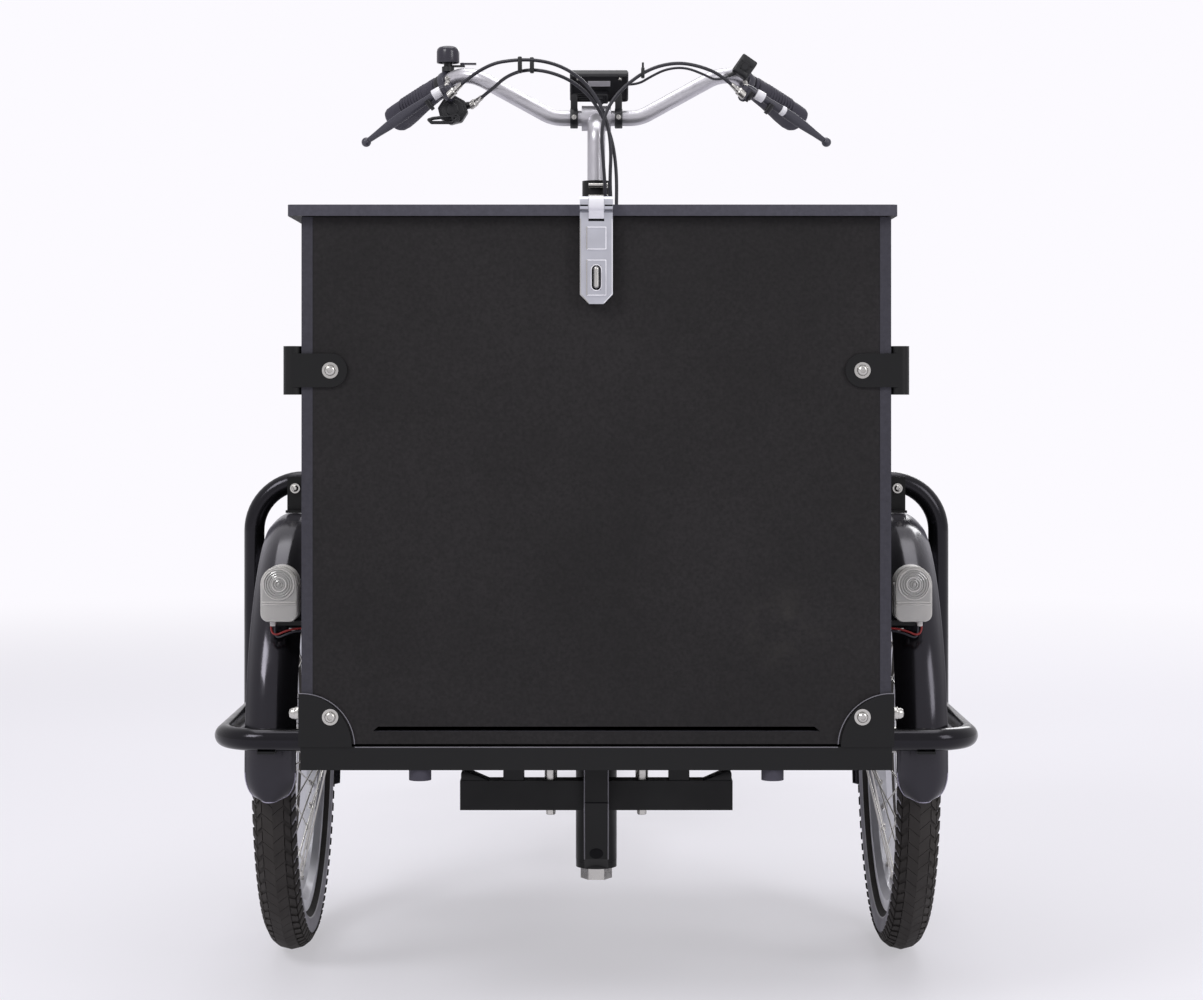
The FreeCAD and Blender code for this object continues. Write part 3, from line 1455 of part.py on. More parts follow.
def assist_button():
    face = switch_centre.y - switch_depth / 2
    return rod(V(switch_centre.x, face - button_proud, switch_centre.z),
               V(switch_centre.x, face + button_seat, switch_centre.z), button_radius)


def bar_controls():
    right_start, right_onward = (V(-x, y, z) for x, y, z in brake_cable_left[:2])
    left_start, left_onward = (V(*point) for point in brake_cable_right[:2])
    return [mirrored(perch(right_start, right_onward)), perch(left_start, left_onward), shifter_pod(),
            assist_switch()]


def brake_lever():
    """A curved blade with a ball end, turning on the perch's pin."""
    low = pivot_point + lever_axis * seat_gap
    high = low + lever_axis * pivot_boss_height
    start = (low + high) * 0.5
    middle = bar_point(lever_mid_reach, lever_mid_back, lever_mid_height)
    blade = bent_rod([start, middle, lever_tip], lever_bend, lever_radius)
    lever = weld([rod(low, high, pivot_boss), blade, Part.makeSphere(lever_ball, lever_tip)])
    return lever.cut(rod(low - lever_axis * overrun, high + lever_axis * overrun, pivot_pin + run_clearance))


bell_centre = V(-perch_centre.x, perch_centre.y, bar_height + bell_base)
bell_pin_point = bell_centre + V(bell_radius + bell_stalk, 0, 0)


def bell():
    """A domed bell on a stalk, with a small plate and pin for its lever."""
    along = V(-grip_direction.x, grip_direction.y, grip_direction.z)
    foot = V(bell_centre.x, bell_centre.y, perch_centre.z)
    top = bell_centre + V(0, 0, bell_height)
    dome = rod(bell_centre, top, bell_radius)
    hollow = rod(bell_centre - V(0, 0, overrun), top - V(0, 0, bell_wall), bell_radius - bell_wall)
    dome_round = bell_radius * bell_round_share

    def rounded(shape, height, radius):
        crown = [edge for edge in shape.Edges if abs(edge.CenterOfMass.z - height) < bell_wall / 2
                 and edge.BoundBox.XLength > bell_radius]
        return shape.makeFillet(radius, crown)

    shell = rounded(dome, top.z, dome_round).cut(rounded(hollow, top.z - bell_wall, dome_round - bell_wall))
    plate_top = bell_centre.z - bell_wall * 2
    plate_low = plate_top - bell_lever_thickness
    half = bell_lever_width / 2
    plate = block(bell_centre.x, bell_pin_point.x + half, bell_centre.y - half, bell_centre.y + half, plate_low,
                  plate_top)
    pin = rod(V(bell_pin_point.x, bell_centre.y, plate_low),
              V(bell_pin_point.x, bell_centre.y, plate_top + bell_lever_thickness), hinge_pin)
    stalk = rod(foot, top - V(0, 0, bell_wall / 2), bell_stalk)
    whole = weld([shell, stalk, plate, pin])
    seat = V(-perch_centre.x, perch_centre.y, perch_centre.z)
    return whole.cut(rod(seat - along * perch_along, seat + along * perch_along, perch_radius))


def bell_lever():
    low = bell_centre.z - bell_wall * 2 + seat_gap
    high = low + bell_lever_thickness - seat_gap
    half = bell_lever_width / 2
    x = bell_pin_point.x
    paddle = block(x, x + bell_lever_length, bell_centre.y - half, bell_centre.y + half, low, high)
    boss = rod(V(x, bell_centre.y, low), V(x, bell_centre.y, high), half)
    bore = rod(V(x, bell_centre.y, low - overrun), V(x, bell_centre.y, high + overrun), hinge_pin + run_clearance)
    return weld([paddle, boss]).cut(bore)


def display():
    """A tilted screen over the stem, its two clamp rings and their arms."""
    centre = bar_point(display_shift, -display_ahead, display_rise)
    body = rounded_block(centre.x - display_width / 2, centre.x + display_width / 2,
                         centre.y - display_depth / 2, centre.y + display_depth / 2,
                         centre.z - display_height / 2, centre.z + display_height / 2, display_round)
    body.rotate(centre, V(1, 0, 0), display_height_over_bar)
    pieces = [body]
    half = display_clamp_width / 2
    arm = display_arm_depth / 2
    for side in (-1, 1):
        x = side * display_clamp_spread
        pieces.append(rod(bar_point(x - half, 0, 0), bar_point(x + half, 0, 0), display_clamp_radius))
        pieces.append(block(x - half, x + half, bar_y - arm, bar_y + arm, bar_height, centre.z - arm))
    return weld(pieces).cut(bar_hole(bar_centre, outwards, bar_flat, run_clearance))


def cable(points, radius):
    """A tube along straight runs joined by arcs as large as the runs allow."""
    bend_share = 0.45
    bends = []
    for before, here, after in zip(points, points[1:], points[2:]):
        back = before - here
        onward = after - here
        shorter = min(back.Length, onward.Length)
        bends.append(bend_share * shorter * math.tan(back.getAngle(onward) / 2))
    wire = path_wire(points, bends)
    section = Part.Wire([Part.Circle(points[0], points[1] - points[0], radius).toShape()])
    tube = wire.makePipeShell([section], True, False)
    expected = math.pi * radius ** 2 * wire.Length
    print("cable: tightest bend", round(min(bends), 1), "length", round(wire.Length, 1),
          "volume over section times length", round(tube.Volume / expected, 5))
    return tube


def control_cables():
    """Three cables that run down in front of the post to its foot, and the display's lead."""
    cables = []
    for route in (brake_cable_left, shift_cable, brake_cable_right):
        points = [bar_centre + V(*point) for point in route]
        foot = V(points[-1].x, points[-1].y, rail_top + seat_gap)
        cables.append(cable(points[:-1] + [foot], cable_radius))
    lead = [bar_centre + V(*point) for point in display_lead]
    cables.append(cable(lead, lead_wire_radius))
    return cables


def wheel_nodes(name, centre, radius, width, bead, hub_shell, lacing):
    return {"tyre_" + name: [tyre(centre, radius, width, bead)], "rim_" + name: [rim(centre, bead)],
            "hub_" + name: [hub_shell] + lacing}


def nodes():
    left = V(wheel_x, axle_y, axle_z)
    right = V(-wheel_x, axle_y, axle_z)
    rear = V(0, rear_axle_y, rear_axle_z)
    shapes = {
        "base_frame": base_frame(), "floor_panel": [floor_panel()], "front_panel": [front_panel()],
        "box_panels": box_panels(), "corner_plates": corner_plates(), "pole_sockets": pole_sockets(),
        "carriage_bolts": carriage_bolts(), "pivot_yoke": pivot_yoke(), "kingpin": [kingpin()],
        "rubber_buffers": rubber_buffers(), "wheel_guards": wheel_guards(), "front_fenders": front_fenders(),
        "wheel_brackets": wheel_brackets(), "headlight_housings": headlight_housings(),
        "headlight_lenses": headlight_lenses(), "lamp_leads": lamp_leads(), "front_axles": front_axles(),
        "steering_post": steering_post(), "stem": [stem()], "handlebar": [handlebar()], "grips": grips(),
        "bar_controls": bar_controls(), "bell": [bell()], "display": [display()],
        "control_cables": control_cables(), "box_hinge_leaves": box_hinge_leaf(),
        "hasp_staple": [hasp_staple()], "lid": [lid()], "lid_hinge_leaves": lid_hinge_leaf(),
        "hasp_plate": [hasp_plate()], "hasp_leaf": [hasp_leaf()],
        "brake_lever_left": [brake_lever()], "brake_lever_right": [mirrored(brake_lever())],
        "shift_lever": [shift_lever()], "bell_lever": [bell_lever()], "assist_button": [assist_button()],
        "main_frame": main_frame(), "frame_bushes": frame_bushes(), "rear_fender": [rear_fender()],
        "rear_rack": [rear_rack()], "battery": [battery()], "tail_light": [tail_light()],
        "motor_unit": [motor_unit()], "chain": [chain()], "crankset": [crankset()],
        "pedal_left": [pedal(1)], "pedal_right": [pedal(-1)], "rear_sprocket": [rear_sprocket()],
        "seatpost": [seatpost()], "saddle": [saddle()]}
    for name, centre in (("left", left), ("right", right)):
        shell = hub(centre, hub_radius, hub_flange_radius, hub_half_width, axle_radius + run_clearance)
        lacing = spokes(centre, bead_radius, hub_half_width, hub_flange_radius)
        shapes.update(wheel_nodes(name, centre, wheel_radius, tyre_width, bead_radius, shell, lacing))
    shell = hub(rear, rear_hub_radius, rear_hub_flange_radius, hub_half_width, rear_axle_radius + run_clearance)
    lacing = spokes(rear, rear_bead_radius, hub_half_width, rear_hub_flange_radius)
    shapes.update(wheel_nodes("rear", rear, rear_wheel_radius, rear_tyre_width, rear_bead_radius, shell, lacing))
    return shapes


def main():
    os.makedirs("parts", exist_ok=True)
    for name, shapes in nodes().items():
        solids = [solid for shape in shapes for solid in shape.Solids]
        Part.makeCompound(solids).exportStep(os.path.join("parts", name + ".step"))


if __name__ == "__main__":
    main()
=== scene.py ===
"""Cargo tricycle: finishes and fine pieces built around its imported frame."""

import math

import bmesh
import bpy
from mathutils import Matrix, Vector


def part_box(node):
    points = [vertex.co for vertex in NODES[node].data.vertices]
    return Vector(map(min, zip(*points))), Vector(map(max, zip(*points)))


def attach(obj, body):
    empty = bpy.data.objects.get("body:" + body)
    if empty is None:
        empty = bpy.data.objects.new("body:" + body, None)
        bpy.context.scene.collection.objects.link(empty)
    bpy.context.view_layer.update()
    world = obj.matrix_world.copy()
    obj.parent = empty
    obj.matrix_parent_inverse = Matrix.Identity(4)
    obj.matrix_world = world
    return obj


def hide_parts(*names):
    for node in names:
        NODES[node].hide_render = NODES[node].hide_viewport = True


bl_info = {
    "name": "Cargo Tricycle Dresser",
    "version": (1, 0, 0),
    "blender": (4, 5, 0),
    "location": "View3D > Sidebar > Tricycle",
    "description": "Dresses a cargo tricycle's frame with its finishes and fine pieces",
    "category": "Object",
}

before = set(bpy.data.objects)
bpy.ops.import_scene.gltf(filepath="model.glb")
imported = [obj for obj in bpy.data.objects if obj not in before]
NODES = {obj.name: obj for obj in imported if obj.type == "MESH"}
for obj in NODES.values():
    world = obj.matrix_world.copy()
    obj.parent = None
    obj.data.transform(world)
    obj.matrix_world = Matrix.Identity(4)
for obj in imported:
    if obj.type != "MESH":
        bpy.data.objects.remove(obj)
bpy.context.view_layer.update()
MM = 0.001
# The photograph's width and focal length in pixels, the camera's shifts, and its sensor's width in millimetres
PHOTO_WIDTH = 1203
PHOTO_FOCAL = 2640
PHOTO_SHIFT_X = 0.0043
PHOTO_SHIFT_Y = -0.0914
SENSOR_WIDTH = 36


def linear(hex_code):
    """The linear colour of an sRGB hex code."""
    parts = [int(hex_code[i:i + 2], 16) / 255 for i in (0, 2, 4)]
    return tuple(c / 12.92 if c <= 0.04045 else ((c + 0.055) / 1.055) ** 2.4 for c in parts)


def colour(hex_code, name, description):
    """A colour property with its default as an sRGB hex code."""
    return bpy.props.FloatVectorProperty(name=name, description=description, subtype="COLOR", size=3,
                                         min=0, max=1, default=linear(hex_code))


def length(millimetres, name, description):
    """A length property with its default in millimetres."""
    return bpy.props.FloatProperty(name=name, description=description, default=millimetres * MM, min=0,
                                   subtype="DISTANCE", unit="LENGTH")


def add(tree, kind, inputs=None, **settings):
    """Adds a shader node, with its settings, and with values or sockets for its inputs."""
    node = tree.nodes.new("ShaderNode" + kind)
    for key, value in settings.items():
        setattr(node, key, value)
    for key, value in (inputs or {}).items():
        if isinstance(value, bpy.types.NodeSocket):
            tree.links.new(value, node.inputs[key])
        else:
            node.inputs[key].default_value = value
    return node


def opaque(rgb):
    """A colour with full alpha, as colour sockets want it."""
    return (*rgb, 1.0)


def toned(rgb, share):
    """A colour made darker or paler by a share."""
    return [c * share for c in rgb]


def reckon(tree, operation, first, second):
    """The result of one operation between two values or sockets."""
    return add(tree, "Math", {0: first, 1: second}, operation=operation).outputs[0]


def blend(tree, share, first, second):
    """A mix of two colours, each a value or a socket."""
    return add(tree, "Mix", {0: share, 6: first, 7: second}, data_type="RGBA").outputs[2]


def start_finish(name, rgb, roughness, metallic=0.0, **sockets):
    """Makes a material with its shader's plain values set; gives its tree, shader and object coordinates."""
    material = bpy.data.materials.new(name)
    material.use_nodes = True
    tree = material.node_tree
    shader = tree.nodes["Principled BSDF"]
    shader.inputs["Base Color"].default_value = opaque(rgb)
    shader.inputs["Roughness"].default_value = roughness
    shader.inputs["Metallic"].default_value = metallic
    for key, value in sockets.items():
        shader.inputs[key.replace("_", " ")].default_value = value
    return tree, shader, add(tree, "TexCoord").outputs["Object"]


def per_mm(millimetres):
    """The scale of a texture whose features are this many millimetres across."""
    return 1 / (millimetres * MM)


def band_scale(millimetres):
    """The scale of a wave texture whose bands lie this many millimetres apart."""
    return 2 * math.pi / (20 * millimetres * MM)


def noise(tree, place, size_mm, detail, roughness=0.5):
    """Cloudy noise with features of that size."""
    return add(tree, "TexNoise", {"Vector": place, "Scale": per_mm(size_mm), "Detail": detail,
                                  "Roughness": roughness}).outputs["Fac"]


def emboss(tree, shader, pattern, height_mm, strength):
    """Lets a pattern stand out of the surface."""
    bump = add(tree, "Bump", {"Height": pattern, "Distance": height_mm * MM, "Strength": strength})
    tree.links.new(bump.outputs["Normal"], shader.inputs["Normal"])


def mottle(tree, shader, place, size_mm, low, high):
    """Cloudy change between two colours over that size."""
    mix = blend(tree, noise(tree, place, size_mm, 4.0), opaque(low), opaque(high))
    tree.links.new(mix, shader.inputs["Base Color"])


def wear(tree, shader, place, size_mm, low, high):
    """Cloudy change between two roughnesses over that size."""
    spread = add(tree, "MapRange", {"Value": noise(tree, place, size_mm, 4.0), "From Min": 0.3, "From Max": 0.7,
                                    "To Min": low, "To Max": high})
    tree.links.new(spread.outputs["Result"], shader.inputs["Roughness"])


class TricycleFinishes(bpy.types.PropertyGroup):
    """Colours of the tricycle's finishes."""
    plywood: colour("1d1b1c", "Plywood film", "Dark film on the box panels")
    plywood_edge: colour("46454d", "Plywood edge", "Sealed edges of the box panels")
    powder: colour("0f0f10", "Powder coat", "Satin coat on frame, plates and guards")
    enamel: colour("09090b", "Mudguard enamel", "Gloss paint on the mudguards")
    zinc: colour("cdced6", "Zinc", "Plating on the hasp")
    stainless: colour("c8c6c2", "Stainless steel", "Bolts, nuts and axles")
    tyre: colour("383533", "Tyre rubber", "Tread and side walls")
    reflex: colour("c4c4c8", "Reflex band", "Pale line on the tyres' side walls")
    rim: colour("d3d3da", "Rim aluminium", "Anodised rims")
    bar: colour("d2d0d6", "Bar aluminium", "Satin handlebar and stem")
    rubber: colour("3b3944", "Grip rubber", "Grips, buffers and sheaths")
    plastic: colour("17171b", "Moulded plastic", "Switches, display and battery case")
    lever: colour("42414b", "Lever paint", "Brake levers")
    saddle: colour("1d1c1e", "Saddle cover", "Soft vinyl of the saddle")
    floor: colour("e9e8f0", "Studio floor", "Pale floor under the tricycle")


def film_faced_plywood(name, look, edge_axes=(0, 0, 0), edge_level=1.0, edge_before=None, scuff_at=None):
    """Birch plywood under a pressed phenolic film: near black, with a wire-mesh print and sealed edges.
    The print's real pitch of 3 mm is drawn at 4.5 mm, so that it shows."""
    tree, shader, place = start_finish(name, look.plywood, 0.62, Specular_IOR_Level=0.25)
    axes = [add(tree, "TexWave", {"Vector": place, "Scale": band_scale(4.5), "Distortion": 0.6,
                                  "Detail": 1.0, "Detail Scale": 2.0}, bands_direction=axis).outputs["Fac"]
            for axis in "XYZ"]
    mesh_print = reckon(tree, "ADD", reckon(tree, "ADD", axes[0], axes[1]), axes[2])
    emboss(tree, shader, mesh_print, 0.12, 0.35)
    dusty = reckon(tree, "MULTIPLY", noise(tree, place, 160, 6.0, 0.65), noise(tree, place, 3.5, 2.0))
    shade = add(tree, "MapRange", {"Value": dusty, "From Min": 0.12, "From Max": 0.42}).outputs["Result"]
    film = blend(tree, shade, opaque(toned(look.plywood, 0.7)), opaque(toned(look.plywood, 1.55)))
    # The sawn edges are painted: a little paler and bluer than the film, with the plies as faint layers.
    normal = add(tree, "TexCoord").outputs["Normal"]
    tilt = add(tree, "VectorMath", {0: normal}, operation="ABSOLUTE")
    if edge_before is not None:
        # Behind this place a face that looks forwards or backwards is film, not an edge.
        along = add(tree, "SeparateXYZ", {0: place})
        ahead = reckon(tree, "LESS_THAN", along.outputs["Y"], edge_before)
        kept = add(tree, "CombineXYZ", {"X": 1.0, "Y": ahead, "Z": 1.0})
        tilt = add(tree, "VectorMath", {0: tilt.outputs[0], 1: kept.outputs[0]}, operation="MULTIPLY")
    sawn = add(tree, "VectorMath", {0: tilt.outputs[0], 1: edge_axes}, operation="DOT_PRODUCT")
    edge = reckon(tree, "GREATER_THAN", sawn.outputs["Value"], 0.7)
    painted = blend(tree, noise(tree, place, 5, 4.0, 0.7), opaque(toned(look.plywood_edge, 0.7 * edge_level)),
                    opaque(toned(look.plywood_edge, 1.4 * edge_level)))
    film = blend(tree, edge, film, painted)
    if scuff_at:
        # A rubbed patch: paler, dusty and streaked where loads brushed past.
        away = add(tree, "VectorMath", {0: place, 1: scuff_at}, operation="DISTANCE")
        near = add(tree, "MapRange", {"Value": away.outputs["Value"], "From Min": 0.0, "From Max": 0.052,
                                      "To Min": 1.0, "To Max": 0.0})
        streak = noise(tree, place, 38, 8.0, 0.7)
        rubbed = add(tree, "MapRange", {"Value": streak, "From Min": 0.46, "From Max": 0.95})
        amount = reckon(tree, "MULTIPLY", near.outputs["Result"], rubbed.outputs["Result"])
        film = blend(tree, amount, film, opaque(linear("474440")))
    tree.links.new(film, shader.inputs["Base Color"])


def coated_metal(name, rgb, roughness, peel_mm=2.2, **sockets):
    """Sprayed or powder-coated metal: even colour under a soft orange peel that breaks its highlights."""
    tree, shader, place = start_finish(name, rgb, roughness, **sockets)
    emboss(tree, shader, noise(tree, place, peel_mm, 1.0), 0.05, 0.35)
    wear(tree, shader, place, 55, max(roughness - 0.07, 0.03), roughness + 0.09)
    mottle(tree, shader, place, 90, toned(rgb, 0.85), toned(rgb, 1.25))


def bare_metal(name, rgb, roughness, scratch_mm=0.6, stretch=(1, 1, 18), metallic=1.0):
    """Bare or plated metal: fine scratches along one direction, and a cloudy polish."""
    tree, shader, place = start_finish(name, rgb, roughness, metallic)
    lines = add(tree, "Mapping", {"Vector": place, "Scale": stretch}).outputs["Vector"]
    emboss(tree, shader, noise(tree, lines, scratch_mm * 18, 3.0), 0.02, 0.3)
    wear(tree, shader, place, 30, max(roughness - 0.08, 0.05), roughness + 0.12)
    mottle(tree, shader, place, 24, toned(rgb, 0.86), [min(c, 1) for c in toned(rgb, 1.06)])


def moulded(name, rgb, roughness, spark_mm=0.9, depth_mm=0.05, **sockets):
    """Injection-moulded plastic or rubber: a spark-eroded grain, and a slightly worn sheen."""
    tree, shader, place = start_finish(name, rgb, roughness, **sockets)
    emboss(tree, shader, noise(tree, place, spark_mm, 2.0), depth_mm, 0.5)
    wear(tree, shader, place, 40, roughness - 0.08, min(roughness + 0.1, 1))
    mottle(tree, shader, place, 28, toned(rgb, 0.85), toned(rgb, 1.3))


def clear_plastic(name, rgb, roughness, smoke=0.0):
    """Clear moulded polycarbonate or acrylic: glassy, with flow marks in its surface."""
    tree, shader, place = start_finish(name, rgb, roughness, IOR=1.58, Transmission_Weight=1.0 - smoke)
    emboss(tree, shader, noise(tree, place, 7, 1.0), 0.03, 0.25)
    wear(tree, shader, place, 12, roughness, roughness + 0.08)


def glowing(name, rgb, strength):
    """A lit die or bulb: flat colour with a faint glow."""
    tree, shader, place = start_finish(name, rgb, 0.4, Emission_Strength=strength, Emission_Color=opaque(rgb))
    mottle(tree, shader, place, 3, toned(rgb, 0.8), rgb)


def make_finishes(look):
    """Every finish of the tricycle, named for its material and making."""
    scuff = Vector((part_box("front_panel")[1].x * 0.66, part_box("front_panel")[0].y, 0.435))
    film_faced_plywood("film-faced plywood front", look, (1, 0, 1), scuff_at=scuff)
    film_faced_plywood("film-faced plywood sides", look, (0, 1, 1), 0.74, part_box("front_panel")[1].y)
    film_faced_plywood("film-faced plywood lid", look, (1, 1, 0), 1.14)
    film_faced_plywood("film-faced plywood floor", look)
    lilac = opaque(linear("efebfa"))
    coated_metal("powder-coated steel", look.powder, 0.42, 1.6, Specular_IOR_Level=0.28)
    coated_metal("gloss powder coat", look.powder, 0.18, 2.4, Specular_IOR_Level=0.34, Specular_Tint=lilac)
    # Near-black: painted shade in slits, gaps and holes, and dark seams
    coated_metal("rolled shadow gap", linear("101013"), 0.6, 2.0, Specular_IOR_Level=0.1)
    # Pale coat for thin rods along edges: painted highlights
    coated_metal("rubbed coat edge", linear("77757c"), 0.35, 2.0)
    coated_metal("stove-enamelled steel", look.enamel, 0.16, 6.0, Specular_IOR_Level=0.6, Sheen_Weight=0.4,
                 Specular_Tint=lilac, Sheen_Roughness=0.35, Sheen_Tint=lilac)
    # Pale enamel for the mudguards' edge beads: painted highlights
    coated_metal("rubbed enamel edge", linear("aaa5b8"), 0.35, 2.0)
    # Near-white and not metallic: painted highlight for bright zinc and steel
    coated_metal("burnished zinc edge", linear("f4f3f8"), 0.3, 2.0)
    bare_metal("zinc-plated steel", look.zinc, 0.36)
    bare_metal("turned stainless steel", look.stainless, 0.24)
    bare_metal("drawn spoke steel", look.stainless, 0.3)
    bare_metal("anodised aluminium rim", look.rim, 0.34, 0.8, (18, 1, 1), 0.5)
    bare_metal("satin aluminium bar", look.bar, 0.34, 0.5, (1, 18, 18), 0.7)
    bare_metal("oiled chain steel", linear("5d5a57"), 0.34)
    bare_metal("sintered bronze", linear("9a6f3c"), 0.42)
    coated_metal("cast motor case", linear("3a3a3e"), 0.5, 1.2, Metallic=0.35)
    coated_metal("painted lever alloy", look.lever, 0.34, 1.4)
    coated_metal("anodised bell dome", linear("33313b"), 0.22, 3.0)
    moulded("moulded tyre rubber", look.tyre, 0.78, 1.4, 0.12, Specular_IOR_Level=0.3)
    # Grey side wall, lightened beyond its own colour as painted light
    moulded("dusty tyre wall", linear("b3b1b8"), 0.72, 1.4, 0.1, Specular_IOR_Level=0.3)
    moulded("woven reflex band", look.reflex, 0.45, 1.2, 0.04)
    moulded("moulded grip rubber", look.rubber, 0.66, 0.8, 0.08)
    moulded("extruded cable sheath", linear("2b2a32"), 0.42, 1.2, 0.03)
    moulded("red lead sheath", linear("8f2424"), 0.45, 1.0, 0.02)
    moulded("moulded black plastic", look.plastic, 0.46)
    moulded("embossed saddle vinyl", look.saddle, 0.52, 1.3, 0.12)
    moulded("amber reflector plastic", linear("c8781c"), 0.2, 2.5, 0.1)
    moulded("printed blank label", linear("b9b7bd"), 0.55, 2.5, 0.01)
    moulded("pale moulded plastic", linear("e2dfdc"), 0.42, 1.5, 0.02)
    moulded("red tail lens plastic", linear("7d0d12"), 0.18, 3.0, 0.03, Coat_Weight=0.5)
    clear_plastic("clear polycarbonate", linear("f4f2ee"), 0.06, 0.5)
    glowing("headlight emitter", linear("e6dca4"), 0.3)


# Turns for plates drawn across and up, and pushed to the front or to the rear
FRONTWARD = Matrix.Rotation(math.pi / 2, 4, "X")
REARWARD = Matrix.Rotation(-math.pi / 2, 4, "X")


def at(x, y, z):
    """A point in millimetres, as all the shapes are until they become pieces."""
    return Vector((x, y, z))


def box(node):
    """A node's lowest and highest corner, in millimetres."""
    return [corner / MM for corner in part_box(node)]


def facing(start, direction):
    """A place at start whose Z axis points along the direction."""
    return Matrix.Translation(start) @ Vector(direction).to_track_quat("Z", "Y").to_matrix().to_4x4()


def rod(bm, start, end, radius, end_radius=None, sides=20):
    """A round bar, or a cone, between two points."""
    along = end - start
    place = facing(start, along) @ Matrix.Translation((0, 0, along.length / 2))
    return bmesh.ops.create_cone(bm, cap_ends=True, segments=sides, radius1=radius, depth=along.length,
                                 radius2=radius if end_radius is None else end_radius, matrix=place)["verts"]


def ball(bm, centre, radius, scale=(1, 1, 1), detail=16):
    """A ball, or an egg when its axes are scaled."""
    place = Matrix.Translation(centre) @ Matrix.Diagonal((*scale, 1))
    return bmesh.ops.create_uvsphere(bm, u_segments=detail, v_segments=detail // 2 + 1, radius=radius,
                                     matrix=place)["verts"]


def block(bm, low, high, bevel=0.0, segments=2, place=Matrix()):
    """A box between two corners, with rounded edges, in a place of its own."""
    low, high = Vector(low), Vector(high)
    size = Matrix.Diagonal((*(high - low), 1))
    verts = bmesh.ops.create_cube(bm, size=1, matrix=place @ Matrix.Translation((low + high) / 2) @ size)["verts"]
    return soften(bm, verts, bevel, segments) if bevel else verts


def soften(bm, verts, bevel, segments=2):
    """Rounds the sharp edges among these vertices."""
    edges = {e for v in verts for e in v.link_edges if len(e.link_faces) == 2 and e.calc_face_angle() > 0.5}
    made = bmesh.ops.bevel(bm, geom=list(edges), offset=bevel, offset_type="OFFSET", segments=segments,
                           profile=0.5, affect="EDGES", clamp_overlap=True, material=-1)
    return made["verts"]


def only_verts(geometry):
    """The vertices in what a bmesh operator made."""
    return [item for item in geometry if isinstance(item, bmesh.types.BMVert)]


def plate(bm, outline, depth, place=Matrix(), bevel=0.0, segments=2):
    """A flat outline of (x, y) points pushed along Z by a depth, in a place of its own."""
    face = bm.faces.new([bm.verts.new(place @ at(x, y, 0)) for x, y in outline])
    moved = only_verts(bmesh.ops.extrude_face_region(bm, geom=[face])["geom"])
    bmesh.ops.translate(bm, vec=place.to_3x3() @ at(0, 0, depth), verts=moved)
    verts = list(face.verts) + moved
    bmesh.ops.recalc_face_normals(bm, faces=list({f for v in verts for f in v.link_faces}))
    if bevel:
        soften(bm, verts, bevel, segments)
    return verts


def arc(centre, radius, start, end, steps=8):
    """Points of an arc, from one angle to another in degrees."""
    angles = [math.radians(start + (end - start) * k / steps) for k in range(steps + 1)]
    return [(centre[0] + radius * math.cos(a), centre[1] + radius * math.sin(a)) for a in angles]


def rounded(half_width, half_height, radius, steps=5):
    """The outline of a rectangle with round corners, about the origin."""
    w, h = half_width - radius, half_height - radius
    points = []
    for x, y, start in ((w, h, 0), (-w, h, 90), (-w, -h, 180), (w, -h, 270)):
        points += arc((x, y), radius, start, start + 90, steps)
    return points


def turned(bm, profile, centre, axis, steps=48, closed=False):
    """A profile of (radius, along) points turned about an axis; a closed profile gives a ring."""
    place = facing(centre, axis)
    verts = [bm.verts.new(place @ at(r, 0, a)) for r, a in profile]
    edges = [bm.edges.new(pair) for pair in zip(verts, verts[1:])]
    if closed:
        edges.append(bm.edges.new((verts[-1], verts[0])))
    made = bmesh.ops.spin(bm, geom=verts + edges, cent=centre, axis=Vector(axis).normalized(),
                          angle=2 * math.pi, steps=steps, use_merge=True, use_duplicate=False)
    return made["geom_last"]


def tidy(bm):
    """Closes seams and poles, and turns all faces outwards."""
    bmesh.ops.remove_doubles(bm, verts=bm.verts, dist=0.01)
    bmesh.ops.recalc_face_normals(bm, faces=bm.faces)


def paint(verts, index):
    """Gives the faces among these vertices a material slot."""
    chosen = set(verts)
    for face in {f for v in verts if v.is_valid for f in v.link_faces}:
        if all(v in chosen for v in face.verts):
            face.material_index = index


def fit(name, data, body, replaces):
    """An object with this data that rides on a body and stands for these nodes."""
    made = bpy.data.objects.new(name, data)
    bpy.context.scene.collection.objects.link(made)
    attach(made, body)
    if replaces:
        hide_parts(*replaces)
    return made


def piece(name, bm, body, materials, replaces=(), smooth=38, closed=True, unit=MM):
    """Makes a bmesh a piece in metres that rides on a body, shows these materials and stands for these nodes."""
    mesh = bpy.data.meshes.new(name)
    if closed:
        tidy(bm)
    bm.transform(Matrix.Scale(unit, 4))
    bm.to_mesh(mesh)
    bm.free()
    for material in materials:
        mesh.materials.append(bpy.data.materials[material])
    mesh.shade_smooth()
    mesh.set_sharp_from_angle(angle=math.radians(smooth))
    return fit(name, mesh, body, replaces)


